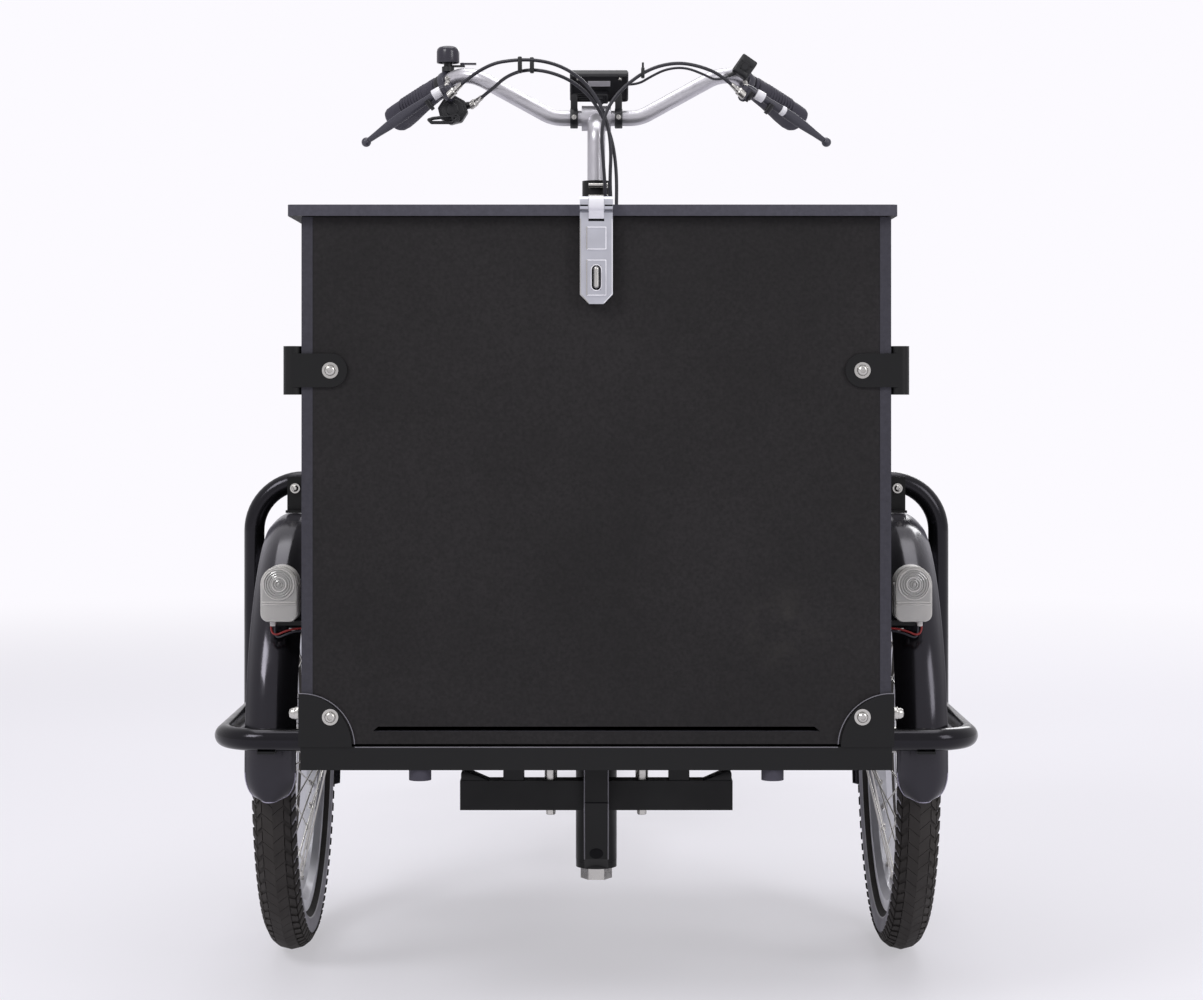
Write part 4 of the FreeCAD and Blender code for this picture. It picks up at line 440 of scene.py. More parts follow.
NODE_FINISHES = {
    "film-faced plywood front": ("front_panel",),
    "film-faced plywood sides": ("box_panels",),
    "film-faced plywood lid": ("lid",),
    "film-faced plywood floor": ("floor_panel",),
    "powder-coated steel": ("base_frame", "corner_plates", "pole_sockets", "pivot_yoke",
                            "wheel_brackets", "steering_post", "main_frame", "rear_rack", "box_hinge_leaves",
                            "lid_hinge_leaves"),
    "gloss powder coat": ("wheel_guards",),
    "stove-enamelled steel": ("front_fenders", "rear_fender"),
    "zinc-plated steel": ("hasp_plate", "hasp_leaf"),
    "turned stainless steel": ("carriage_bolts", "hasp_staple", "kingpin", "front_axles"),
    "drawn spoke steel": ("hub_left", "hub_right", "hub_rear"),
    "moulded tyre rubber": ("tyre_left", "tyre_right", "tyre_rear"),
    "anodised aluminium rim": ("rim_left", "rim_right", "rim_rear"),
    "satin aluminium bar": ("handlebar", "stem", "seatpost"),
    "moulded grip rubber": ("grips", "rubber_buffers", "saddle"),
    "moulded black plastic": ("bar_controls", "display", "shift_lever", "assist_button", "battery",
                              "pedal_left", "pedal_right"),
    "painted lever alloy": ("brake_lever_left", "brake_lever_right"),
    "anodised bell dome": ("bell", "bell_lever"),
    "extruded cable sheath": ("control_cables", "lamp_leads"),
    "pale moulded plastic": ("headlight_housings",),
    "clear polycarbonate": ("headlight_lenses",),
    "red tail lens plastic": ("tail_light",),
    "cast motor case": ("motor_unit",),
    "oiled chain steel": ("chain", "crankset", "rear_sprocket"),
    "sintered bronze": ("frame_bushes",),
}


class TRICYCLE_OT_finishes(bpy.types.Operator):
    """Makes every finish and gives the frame's nodes theirs"""
    bl_idname = "tricycle.finishes"
    bl_label = "Finishes"

    def execute(self, context):
        make_finishes(context.scene.tricycle_finishes)
        for finish, names in NODE_FINISHES.items():
            for name in names:
                for slot in NODES[name].material_slots:
                    slot.link = "OBJECT"
                    slot.material = bpy.data.materials[finish]
        return {"FINISHED"}


class TricycleSizes(bpy.types.PropertyGroup):
    """Sizes of the fine pieces."""
    tread_height: length(2.2, "Tread height", "Height of the tyres' blocks over their grooves")
    tread_pitch: length(18, "Tread pitch", "Distance between like blocks round a tyre")
    nipple_length: length(11, "Nipple length", "Length of the spoke nipples")
    valve_length: length(26, "Valve length", "Length of the inner tubes' valves")
    bolt_socket: length(2.6, "Bolt socket", "Radius of the sockets in the button heads")
    cable_radius: length(2.5, "Cable radius", "Radius of the control cables")
    lead_radius: length(1.8, "Lead radius", "Radius of the display's lead")


WHEELS = ("left", "right", "rear")
SPOKES = 36
# Block outlines on half a tread, as shares of the tread's half width and of the pitch
TREAD_SHARES = (
    ((0.0, 0.0), (0.36, 0.55), (0.36, 1.51), (0.0, 0.96)),
    ((0.39, 0.62), (0.62, 0.10), (0.62, 0.72), (0.39, 1.24)),
    ((0.66, 0.05), (0.97, 0.50), (0.97, 1.12), (0.66, 0.70)),
)
# How far the tread reaches round the casing, and the share of the casing's radius at which its blocks start
TREAD_REACH = math.radians(76)
TREAD_SINK = 0.97
# Angles round half a casing, from its crown to its bead
CASING_DEGREES = (0, 15, 30, 45, 60, 74, 86, 97, 106, 115, 120)
# Angles from the crown at which the grey wall starts, and the reflex band starts and ends
WALL_START, BAND_START, BAND_END = 60, 115, 120
VALVE_DEGREES = 250


def tyre(side, sizes):
    """A ballooned casing with a reflex band on each wall, and rows of slanted blocks round its crown."""
    node = "tyre_" + side
    low, high = box(node)
    centre = (low + high) / 2
    radius, half = (high.z - low.z) / 2, (high.x - low.x) / 2
    lip = box("rim_" + side)[1].z - centre.z
    crown = half - sizes.tread_height / MM
    ring = radius - half
    profile = [(lip - 6, -13.6), (lip - 1, -14), (lip + 2, -17.5)]
    for degrees in [-d for d in CASING_DEGREES[:0:-1]] + list(CASING_DEGREES):
        turn = math.radians(degrees)
        profile.append((ring + crown * math.cos(turn), crown * math.sin(turn)))
    profile += [(r, -a) for r, a in reversed(profile[:3])]
    bm = bmesh.new()
    turned(bm, profile, centre, (1, 0, 0), 120, closed=True)
    for face in bm.faces:
        spot = face.calc_center_median() - centre
        out = math.hypot(spot.y, spot.z) - ring
        wall = math.degrees(math.atan2(abs(spot.x), out))
        if WALL_START < wall < BAND_START:
            face.material_index = 2
        elif BAND_START < wall < BAND_END:
            face.material_index = 1
    bmesh.ops.recalc_face_normals(bm, faces=bm.faces)

    count = round(2 * math.pi * radius * MM / sizes.tread_pitch)
    step = 2 * math.pi / count
    blocks = []
    for mirror in (1, -1):
        for outline in TREAD_SHARES:
            verts = []
            for across, along in outline:
                turn = across * TREAD_REACH * mirror
                spin = (along + (0.5 if mirror < 0 else 0)) * step
                out = ring + crown * TREAD_SINK * math.cos(turn)
                verts.append(bm.verts.new(centre + at(crown * TREAD_SINK * math.sin(turn), -out * math.cos(spin),
                                                      out * math.sin(spin))))
            base = bm.faces.new(verts)
            raised = only_verts(bmesh.ops.extrude_face_region(bm, geom=[base])["geom"])
            for vert in raised:
                spot = vert.co - centre
                heart = centre + at(0, spot.y, spot.z).normalized() * ring
                vert.co = heart + (vert.co - heart).normalized() * half
            blocks += verts + raised
    faces = list({f for v in blocks for f in v.link_faces})
    bmesh.ops.recalc_face_normals(bm, faces=faces)
    geometry = faces + list({e for f in faces for e in f.edges}) + list({v for f in faces for v in f.verts})
    bmesh.ops.spin(bm, geom=geometry, cent=centre, axis=(1, 0, 0), angle=2 * math.pi - step, steps=count - 1,
                   use_duplicate=True)
    return piece("tread_" + side, bm, "wheel_" + side,
                 ["moulded tyre rubber", "woven reflex band", "dusty tyre wall"], [node], 32, closed=False)


class TRICYCLE_OT_tyres(bpy.types.Operator):
    """Treaded tyres with reflex bands"""
    bl_idname = "tricycle.tyres"
    bl_label = "Tyres"

    def execute(self, context):
        for side in WHEELS:
            tyre(side, context.scene.tricycle_sizes)
        return {"FINISHED"}


class TRICYCLE_OT_wheel_fittings(bpy.types.Operator):
    """Spoke nipples and valves"""
    bl_idname = "tricycle.wheel_fittings"
    bl_label = "Wheel Fittings"

    def execute(self, context):
        sizes = context.scene.tricycle_sizes
        nipple, valve = sizes.nipple_length / MM, sizes.valve_length / MM
        for side in WHEELS:
            # The outer end of each spoke, searched for in metres
            low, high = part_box("rim_" + side)
            axle = (low + high) / 2
            centre = axle / MM
            spots = {}
            for vert in NODES["hub_" + side].data.vertices:
                spot = vert.co - axle
                out = math.hypot(spot.y, spot.z)
                key = round(math.atan2(spot.z, spot.y) / (2 * math.pi) * SPOKES) % SPOKES
                if key not in spots or out > spots[key][0]:
                    spots[key] = (out, spot.copy())
            bm = bmesh.new()
            for out, spot in spots.values():
                inward = -at(spot.x * 0.3, spot.y, spot.z).normalized()
                seat = centre + spot / MM
                rod(bm, seat, seat + inward * nipple * 0.35, 3.1, sides=6)
                rod(bm, seat + inward * nipple * 0.35, seat + inward * nipple, 2.1, 1.7, sides=8)
            piece("nipples_" + side, bm, "wheel_" + side, ["turned stainless steel"])

            inner = min(out for out, spot in spots.values()) / MM - 1
            turn = math.radians(VALVE_DEGREES + 180 / SPOKES)
            way = at(0, math.cos(turn), math.sin(turn))
            bm = bmesh.new()
            foot = centre + way * inner
            rod(bm, foot, foot - way * valve, 3.6, sides=16)
            rod(bm, foot, foot - way * 3, 6, 5, sides=6)
            for k in range(6):
                rod(bm, foot - way * (8 + 2 * k), foot - way * (9 + 2 * k), 4.1, sides=16)
            tip = foot - way * valve
            paint(rod(bm, tip, tip - way * 7, 4.6, 3.8, sides=12), 1)
            bmesh.ops.recalc_face_normals(bm, faces=bm.faces)
            piece("valve_" + side, bm, "wheel_" + side,
                  ["turned stainless steel", "moulded black plastic"], closed=False)
        return {"FINISHED"}


SIDES = ((1, "left"), (-1, "right"))
LAMP_WIDTH_SHARE = 42.1 / 63.8
LAMP_FOOT_SHARE = 0.37
LAMP_CORNER = 9
LENS_DEPTH = 7


def lamp_outline(half, low, spring, corner):
    """Half-round top over straight sides, with rounded lower corners; (x, height) points."""
    return (arc((0, spring), half, 0, 180, 20) + arc((corner - half, low + corner), corner, 180, 270, 5)
            + arc((half - corner, low + corner), corner, 270, 360, 5))


def headlight(side, name):
    """A clear lamp: round ringed lens over a ribbed reflector block, in a pale housing with a foot."""
    low, high = box("headlight_housings")
    half = (high.z - low.z) * LAMP_WIDTH_SHARE / 2
    x = side * (high.x - half)
    front, depth = low.y, high.y - low.y
    spring = (high.z - low.z) - half
    # The lamp's own place: X across, Y up, Z towards the front
    place = Matrix.Translation((x, front, low.z)) @ FRONTWARD

    bm = bmesh.new()
    outline = lamp_outline(half, 0, spring, LAMP_CORNER)
    plate(bm, outline, LENS_DEPTH - depth, place @ Matrix.Translation((0, 0, -LENS_DEPTH)), 3, 3)
    # Foot with its two lead sleeves, and the hinge nub beside the lens
    foot = side * half * LAMP_FOOT_SHARE
    block(bm, (foot - half * 0.15, -5.5, -14), (foot + half * 0.15, 0.5, -6), 1, 2, place)
    nub = -side * half
    block(bm, (nub - 1.6, spring - 1.5, -12), (nub + 1.6, spring + 1.5, -9), 0.6, 2, place)
    piece("lamp_shell_" + name, bm, "front_carriage", ["pale moulded plastic"],
          ["headlight_housings"], closed=False)

    bm = bmesh.new()
    bowl = half - 3.6
    heart = place @ at(0, spring, 0)
    out = place.to_3x3() @ at(0, 0, 1)
    dish = [(bowl, -2.2), (bowl * 0.86, -3.4), (bowl * 0.62, -5.0), (bowl * 0.3, -6.2),
            (2.4, -6.6), (2.4, -7.4), (bowl, -7.4)]
    turned(bm, dish, heart, out, 48, closed=True)
    ribs = 13
    width = 2 * (half - 3) / ribs
    for k in range(ribs):
        left = -half + 3 + k * width
        plate(bm, [(left, -6.5), (left + width / 2, -4.2), (left + width, -6.5)], -(spring - bowl - 7),
              place @ Matrix.Translation((0, spring - bowl - 3, 0)) @ REARWARD @ Matrix.Scale(-1, 4, (0, 1, 0)))
    bmesh.ops.recalc_face_normals(bm, faces=bm.faces)
    piece("lamp_reflector_" + name, bm, "front_carriage", ["pale moulded plastic"], closed=False)

    bm = bmesh.new()
    ball(bm, heart - out * 5.6, 3.2, (1, 0.5, 1))
    piece("lamp_emitter_" + name, bm, "front_carriage", ["headlight emitter"], closed=False)

    bm = bmesh.new()
    plate(bm, outline, -LENS_DEPTH, place, 1.6, 3)
    ring_profile = [(0.0, 0.0), (bowl, 0.0), (bowl, 0.9)]
    for k in range(6):
        r = bowl * (1 - (k + 0.5) / 6.5)
        ring_profile += [(r + bowl * 0.06, 1.3), (r, 0.5)]
    ring_profile += [(1.5, 1.4), (0.0, 1.5)]
    turned(bm, ring_profile, heart, out, 48)
    block(bm, (-half + 1, spring - bowl - 4, -1), (half - 1, spring - bowl - 2.4, 0.9), 0.3, 1, place)
    piece("lamp_lens_" + name, bm, "front_carriage", ["clear polycarbonate"], ["headlight_lenses"])


class TRICYCLE_OT_headlights(bpy.types.Operator):
    """Clear headlights with ringed lenses and ribbed reflectors"""
    bl_idname = "tricycle.headlights"
    bl_label = "Headlights"

    def execute(self, context):
        for side, name in SIDES:
            headlight(side, name)
        return {"FINISHED"}


def ridge(bm, outline, inset, depth, place):
    """A raised frame between an outline and the same outline drawn in."""
    reach = max(abs(x) for x, y in outline)
    rise = max(abs(y) for x, y in outline)
    outer = [bm.verts.new(place @ at(x, y, 0)) for x, y in outline]
    inner = [bm.verts.new(place @ at(x * (1 - inset / reach), y * (1 - inset / rise), 0)) for x, y in outline]
    loops = []
    for verts in (outer, inner):
        loops += [bm.edges.new((a, b)) for a, b in zip(verts, verts[1:] + verts[:1])]
    made = bmesh.ops.bridge_loops(bm, edges=loops)["faces"]
    lifted = bmesh.ops.extrude_face_region(bm, geom=made)["geom"]
    bmesh.ops.translate(bm, vec=place.to_3x3() @ at(0, 0, depth), verts=only_verts(lifted))
    top_faces = [f for f in lifted if isinstance(f, bmesh.types.BMFace)]
    bmesh.ops.inset_region(bm, faces=top_faces, thickness=inset * 0.25, depth=0)
    bmesh.ops.recalc_face_normals(bm, faces=bm.faces)


class TRICYCLE_OT_hasp(bpy.types.Operator):
    """Pressed ridges and strap of the hasp with painted highlights and shade, dark blocks of painted shade in its
    slits, its staple with painted shadow behind it, and the screws of its plate
    """
    bl_idname = "tricycle.hasp"
    bl_label = "Hasp"

    def execute(self, context):
        face, back = -1072.9, -1071.7
        pad, slot = 848.5, 806.5
        place = Matrix.Translation((0, face, 0)) @ FRONTWARD
        bm = bmesh.new()
        ridge(bm, rounded(10.8, 12.2, 0.8, 3), 1.1, 1.3, place @ Matrix.Translation((0, pad, 0)))
        ridge(bm, rounded(10.8, 19.2, 0.8, 3), 1.1, 1.3, place @ Matrix.Translation((0, slot, 0)))
        ridge(bm, rounded(6.0, 14.2, 5.8, 8), 0.9, 1.0, place @ Matrix.Translation((0, slot, 0)))
        for side in (-1, 1):
            edge = [(16.4, 869), (17.4, 869), (17.4, 789), (8.5, 779.2), (8.0, 780.2), (16.4, 789.4)]
            plate(bm, [(side * x, z) for x, z in edge], 0.5, Matrix.Translation((0, back, 0)) @ FRONTWARD)
        # Painted shade: the ridge faces on the left get the darker stainless steel, the others the painted
        # highlight
        for ridge_face in bm.faces:
            if ridge_face.calc_center_median().x < -9:
                ridge_face.material_index = 1
        piece("hasp_ridges", bm, "hasp", ["burnished zinc edge", "turned stainless steel"],
              closed=False)
        # Painted shade: a dark block in the leaf's slit
        bm = bmesh.new()
        block(bm, at(-8.4, -1072.3, 866.6), at(8.4, -1071.2, 869.4))
        piece("hasp_slit_shade", bm, "hasp", ["rolled shadow gap"], closed=False)

        bm = bmesh.new()
        # The middle knuckle's tongue, from the pin down to its slit in the leaf. It just meets the lid's edge,
        # so it is drawn in metres, without the rounding of a change of unit
        end = at(8.05, -1076.8, 884.5) * MM
        rod(bm, mirrored(end, -1), end, 8.3 * MM, sides=48)
        tongue = [(-1084.6, 884.5), (-1083.9, 880.4), (-1073.2, 869.2), (-1071.6, 869.2), (-1071.6, 876.5),
                  (-1076.8, 880)]
        plate(bm, [(y * MM, z * MM) for y, z in tongue], 16.1 * MM,
              Matrix(((0, 0, 1, -8.05 * MM), (1, 0, 0, 0), (0, 1, 0, 0), (0, 0, 0, 1))))
        # The strap's near-white zinc is a painted highlight
        piece("hasp_strap", bm, "hasp", ["burnished zinc edge"], closed=False, unit=1)
        # Painted shade: dark blocks in the gaps between the knuckles
        bm = bmesh.new()
        for side in (-1, 1):
            for y, z in ((-1081.6, 877.2), (-1085.1, 881.6)):
                block(bm, at(side * 13 - 4.2, y, z), at(side * 13 + 4.2, y + 1.4, z + 1.7))
        piece("knuckle_gap_shade", bm, "lid", ["rolled shadow gap"], closed=False)

        bm = bmesh.new()
        low, high = box("hasp_staple")
        plate(bm, rounded(14, 19, 3, 5), high.y + 1068.6, Matrix.Translation((0, high.y, slot)) @ FRONTWARD, 0.5)
        rise = 8.6
        for lift in (-rise, rise):
            rod(bm, at(0, high.y, slot + lift), at(0, low.y + 4, slot + lift), 2.9, sides=20)
            ball(bm, at(0, low.y + 4, slot + lift), 2.9)
        rod(bm, at(0, low.y + 4, slot - rise), at(0, low.y + 4, slot + rise), 2.9, sides=20)
        piece("staple_bow", bm, "front_carriage", ["turned stainless steel"], ["hasp_staple"])
        # Painted shadow: a dark plate behind the staple's slot
        bm = bmesh.new()
        plate(bm, rounded(4.7, 13.2, 4.6, 6), 0.5, Matrix.Translation((0, -1068.4, slot)) @ FRONTWARD)
        piece("staple_painted_shadow", bm, "front_carriage", ["rolled shadow gap"], closed=False)

        low, high = box("hasp_plate")
        bm = bmesh.new()
        for x in (-11, 11):
            for y in (high.y - 12, high.y - 32):
                seat = at(x, y, 887.3)
                turned(bm, [(0, 0), (3.6, 0), (3.6, 1.0), (2.4, 1.9), (1.4, 2.1), (1.3, 1.0), (0, 0.9)], seat,
                       (0, 0, 1), 24)
        piece("hasp_screws", bm, "lid", ["turned stainless steel"])
        return {"FINISHED"}


def button_head(bm, seat, out, radius, height, socket):
    """A washer and a domed head with its socket."""
    washer, rim = 1.0, radius * 1.45
    turned(bm, [(0, 0), (rim, 0), (rim, washer), (radius, washer), (radius, washer + height * 0.35),
                (radius * 0.82, washer + height * 0.75), (radius * 0.5, washer + height),
                (socket * 1.15, washer + height), (socket * 1.05, height * 0.5), (0, height * 0.45)],
           seat, out, 32)


def cap_nut(bm, seat, out, radius, height):
    """A washer, a hexagon and a dome."""
    washer = 1.2
    crown = seat + out * (washer + height * 0.5)
    rod(bm, seat, seat + out * washer, radius * 1.35, sides=28)
    soften(bm, rod(bm, seat + out * washer, crown, radius, sides=6), 0.4, 1)
    turned(bm, [(0, 0), (radius * 0.86, 0), (radius * 0.84, height * 0.2), (radius * 0.6, height * 0.42),
                (0, height * 0.5)], crown, out, 28)


class TRICYCLE_OT_fasteners(bpy.types.Operator):
    """Button-head bolts, cap nuts and hexagon bolts with washers and sockets"""
    bl_idname = "tricycle.fasteners"
    bl_label = "Fasteners"

    def execute(self, context):
        socket = context.scene.tricycle_sizes.bolt_socket / MM
        plate_low = box("corner_plates")[0].y
        bm = bmesh.new()
        ahead = at(0, -1, 0)
        for side in (-1, 1):
            for height in (338, 708):
                button_head(bm, at(side * 284, plate_low, height), ahead, 6, 4.2, socket)
            out = at(side, 0, 0)
            cap_nut(bm, at(side * box("corner_plates")[1].x, -1027.5, 338), out, 7, 13)
            # Head and sleeve of the bolt through the cross-member
            turned(bm, [(0, 0), (5.6, 0), (5.6, 7), (4.8, 8), (0, 8)], at(side * 53, -803.5, 201), (0, 0, -1), 24)
            rod(bm, at(side * 53, -803.5, 234), at(side * 53, -803.5, 273), 7.4, sides=28)
            # Bolts that hold the mudguard tabs, the clips and the lamp arms
            for x, y, z, way in ((371, -627.5, 566, (0, -1, 0)), (371, -893, 300, (0, 0, 1)),
                                 (346, -856.5, 414.8, (0, 0, -1))):
                button_head(bm, at(side * x, y, z), Vector(way), 4.2, 3.0, socket * 0.7)
        piece("bolts", bm, "front_carriage", ["turned stainless steel"], ["carriage_bolts"])
        return {"FINISHED"}


BAR = at(0, -78.5, 1078)
BAR_CORNER = at(188, 10, 70)
BAR_END = at(305, 120, 12)
GRIP_LENGTH = 112
LEVER_PATH = (at(215, -15, 37), at(272, 4, 6), at(335, 45, -30))
PERCH_ALONG = 40
LEVER_AXIS = at(0.563, -0.246, 0.789)
BELL = at(-215.4, -42.7, 1162)
POST_COLLAR = at(0, -123.5, 984)
# Routes of the control cables, in millimetres from the middle of the handlebar: right, back and up
CABLE_ROUTES = {
    "brake_cable_left": (
        (-200, -36, 38), (-162, -62, 69), (-106, -72, 77), (-60, -76, 71), (-22, -78, 50), (4, -80, 17),
        (17, -82, -19), (21, -82, -55), (19, -80, -94), (21, -77, -135), (20, -76, -180)),
    "shift_cable": (
        (-172, 8, 26), (-150, -14, 40), (-128, -42, 56), (-100, -62, 63), (-70, -68, 60), (-38, -70, 48),
        (-12, -71, 28), (8, -72, -2), (22, -72, -35), (28, -73, -75), (29, -75, -120), (27, -76, -180)),
    "brake_cable_right": (
        (200, -36, 38), (178, -51, 56), (150, -66, 66), (120, -75, 71), (92, -80, 67), (68, -84, 57),
        (46, -87, 41), (28, -88, 24), (13, -88, 0), (7, -88, -27), (9, -87, -60), (12, -84, -100),
        (14, -78, -140), (13, -76, -180)),
    "display_lead": (
        (46, -8, 48), (60, -8, 48), (78, -28, 57), (100, -44, 66), (126, -46, 68), (152, -34, 60),
        (174, -19, 51), (190, -10, 60)),
}
LEVER_CABLES = ("brake_cable_left", "brake_cable_right", "shift_cable")


def mirrored(point, side):
    """A point or direction on one side of the tricycle."""
    return at(point.x * side, point.y, point.z)


def perch(side):
    """The direction of the handlebar's end on one side, and the middle of the lever's clamp on it."""
    along = mirrored(BAR_END - BAR_CORNER, side).normalized()
    return along, BAR + mirrored(BAR_CORNER, side) + along * PERCH_ALONG


def cable_start(name):
    """Where a cable leaves its lever, and which way."""
    start, onward = (BAR + at(*p) for p in CABLE_ROUTES[name][:2])
    return start, (onward - start).normalized()


def loft(bm, stations, sides=24):
    """A skin over oval sections: each station is a centre, an along and a wide direction, and two half sizes."""
    edges = []
    for centre, along, wide, half_wide, half_thick in stations:
        along = along.normalized()
        wide = (wide - along * wide.dot(along)).normalized()
        thick = along.cross(wide)
        turn = Matrix((wide * half_wide, thick * half_thick, along)).transposed().to_4x4()
        place = Matrix.Translation(centre) @ turn
        verts = bmesh.ops.create_circle(bm, segments=sides, radius=1, matrix=place)["verts"]
        edges.append(list({e for v in verts for e in v.link_edges}))
    for first, second in zip(edges, edges[1:]):
        bmesh.ops.bridge_loops(bm, edges=first + second)
    for ring in (edges[0], edges[-1]):
        bmesh.ops.contextual_create(bm, geom=ring)
    bmesh.ops.recalc_face_normals(bm, faces=bm.faces)


def bend(points, share):
    """A point and a direction on the smooth curve through three points."""
    start, middle, end = points
    pull = middle * 2 - (start + end) / 2
    spot = start * (1 - share) ** 2 + pull * 2 * share * (1 - share) + end * share ** 2
    return spot, (pull - start) * (1 - share) + (end - pull) * share


class TRICYCLE_OT_grips(bpy.types.Operator):
    """Winged rubber grips with end caps and fine ribs"""
    bl_idname = "tricycle.grips"
    bl_label = "Grips"

    # Share of the length, half thickness, half width and offset of the palm wing in millimetres
    stations = ((0.0, 14.6, 14.6, 0.0), (0.015, 16.2, 16.2, 0.0), (0.10, 16.4, 16.6, 0.2), (0.12, 15.4, 15.6, 0.2),
                (0.14, 16.2, 16.8, 0.4), (0.30, 16.3, 17.6, 1.4), (0.50, 16.2, 19.2, 3.0), (0.68, 16.0, 20.8, 4.8),
                (0.84, 15.6, 21.8, 5.8), (0.94, 14.8, 21.2, 5.8), (0.985, 12.8, 19.0, 5.6), (1.01, 8.0, 13.0, 5.4))

    def execute(self, context):
        bm = bmesh.new()
        for side in (1, -1):
            along = perch(side)[0]
            start = BAR + mirrored(BAR_END, side) - along * GRIP_LENGTH
            wing = at(-0.55 * side, 0.45, -0.55).normalized()
            wing = (wing - along * wing.dot(along)).normalized()
            loft(bm, [(start + along * GRIP_LENGTH * s + wing * o, along, wing, w, t)
                      for s, t, w, o in self.stations], 32)
            for k in range(9):
                spot = start + along * GRIP_LENGTH * (0.22 + 0.055 * k)
                turned(bm, [(15.6, -0.9), (16.6, -0.9), (16.9, 0), (16.6, 0.9), (15.6, 0.9)], spot, along, 32,
                       closed=True)
            clamp = start - along * 2
            rod(bm, clamp - along * 6, clamp, 15.2, sides=32)
        piece("winged_grips", bm, "front_carriage", ["moulded grip rubber"], ["grips"])
        return {"FINISHED"}


class TRICYCLE_OT_levers(bpy.types.Operator):
    """Brake blades with a broad middle and a ball end, and a looped thumb lever"""
    bl_idname = "tricycle.levers"
    bl_label = "Levers"

    # Share of the blade's length, half width and half thickness in millimetres
    stations = ((0.0, 7.0, 5.0), (0.10, 6.4, 4.8), (0.22, 5.4, 4.2), (0.38, 6.0, 3.8), (0.56, 7.4, 3.6),
                (0.72, 6.8, 3.6), (0.86, 5.0, 3.6), (0.96, 4.0, 3.6))
    # Collars with painted highlight: share of the blade's length, radius and length; then the adjusting screws'
    # shares
    collars = {"brake_lever_left": ((0.16, 7.6, 13), (0.46, 7.0, 6)), "brake_lever_right": ((0.10, 7.6, 13),)}
    stops = {"brake_lever_left": (0.06, 0.32), "brake_lever_right": (0.24,)}

    def execute(self, context):
        for side, name in ((1, "brake_lever_left"), (-1, "brake_lever_right")):
            points = [BAR + mirrored(p, side) for p in LEVER_PATH]
            bm = bmesh.new()
            grip = BAR + mirrored(BAR_END, side)
            axis = (points[2] - points[0]).cross(grip - points[0]).normalized() * side
            if axis.z < 0:
                axis = -axis
            lift = axis * 4.3
            sections = []
            for share, wide, thick in self.stations:
                spot, along = bend(points, share)
                sections.append((spot + lift * (1 - share), along, axis, wide, thick))
            loft(bm, sections, 20)
            rod(bm, points[0] + axis * 0.3, points[0] + axis * 8, 7.4, sides=28)
            ball(bm, points[2], 7, detail=24)
            piece(name.replace("lever", "blade"), bm, name, ["painted lever alloy"], [name])

            bm = bmesh.new()
            for share, radius, reach in self.collars[name]:
                spot, along = bend(points, share)
                spot += lift * (1 - share) + at(0, -3, 0)
                half = along.normalized() * reach / 2
                verts = rod(bm, spot - half, spot + half, radius, sides=24)
                soften(bm, verts, 0.8, 2)
            piece(name.replace("lever", "collars"), bm, name, ["burnished zinc edge"])
            bm = bmesh.new()
            for share in self.stops[name]:
                spot, along = bend(points, share)
                spot += lift * (1 - share) + at(0, -3, 0)
                rod(bm, spot, spot - axis * 13, 4.6, sides=20)
                rod(bm, spot - axis * 12, spot - axis * 17, 3.0, sides=6)
            piece(name.replace("lever", "stops"), bm, name, ["moulded black plastic"])

        low, high = box("shift_lever")
        mid = (low + high) / 2
        depth = high.y - low.y
        bm = bmesh.new()
        tip, root = low.x, high.x
        outline = [(tip, mid.z - 3), (tip + 4, mid.z - 7), (root - 12, mid.z - 7),
                   (root - 3, mid.z), (root - 12, mid.z + 2), (tip + 6, mid.z - 1)]
        for a, b in zip(outline, outline[1:] + outline[:1]):
            start, end = at(a[0], mid.y, a[1]), at(b[0], mid.y, b[1])
            rod(bm, start, end, min(depth, 5) / 2, sides=12)
            ball(bm, start, min(depth, 5) / 2, detail=12)
        turned(bm, [(3.2, -depth / 2), (6.2, -depth / 2), (6.6, 0), (6.2, depth / 2), (3.2, depth / 2)],
               at(root - 6.5, mid.y, mid.z), (0, 1, 0), 28, closed=True)
        piece("thumb_loop", bm, "shift_lever", ["moulded black plastic"], ["shift_lever"])
        return {"FINISHED"}


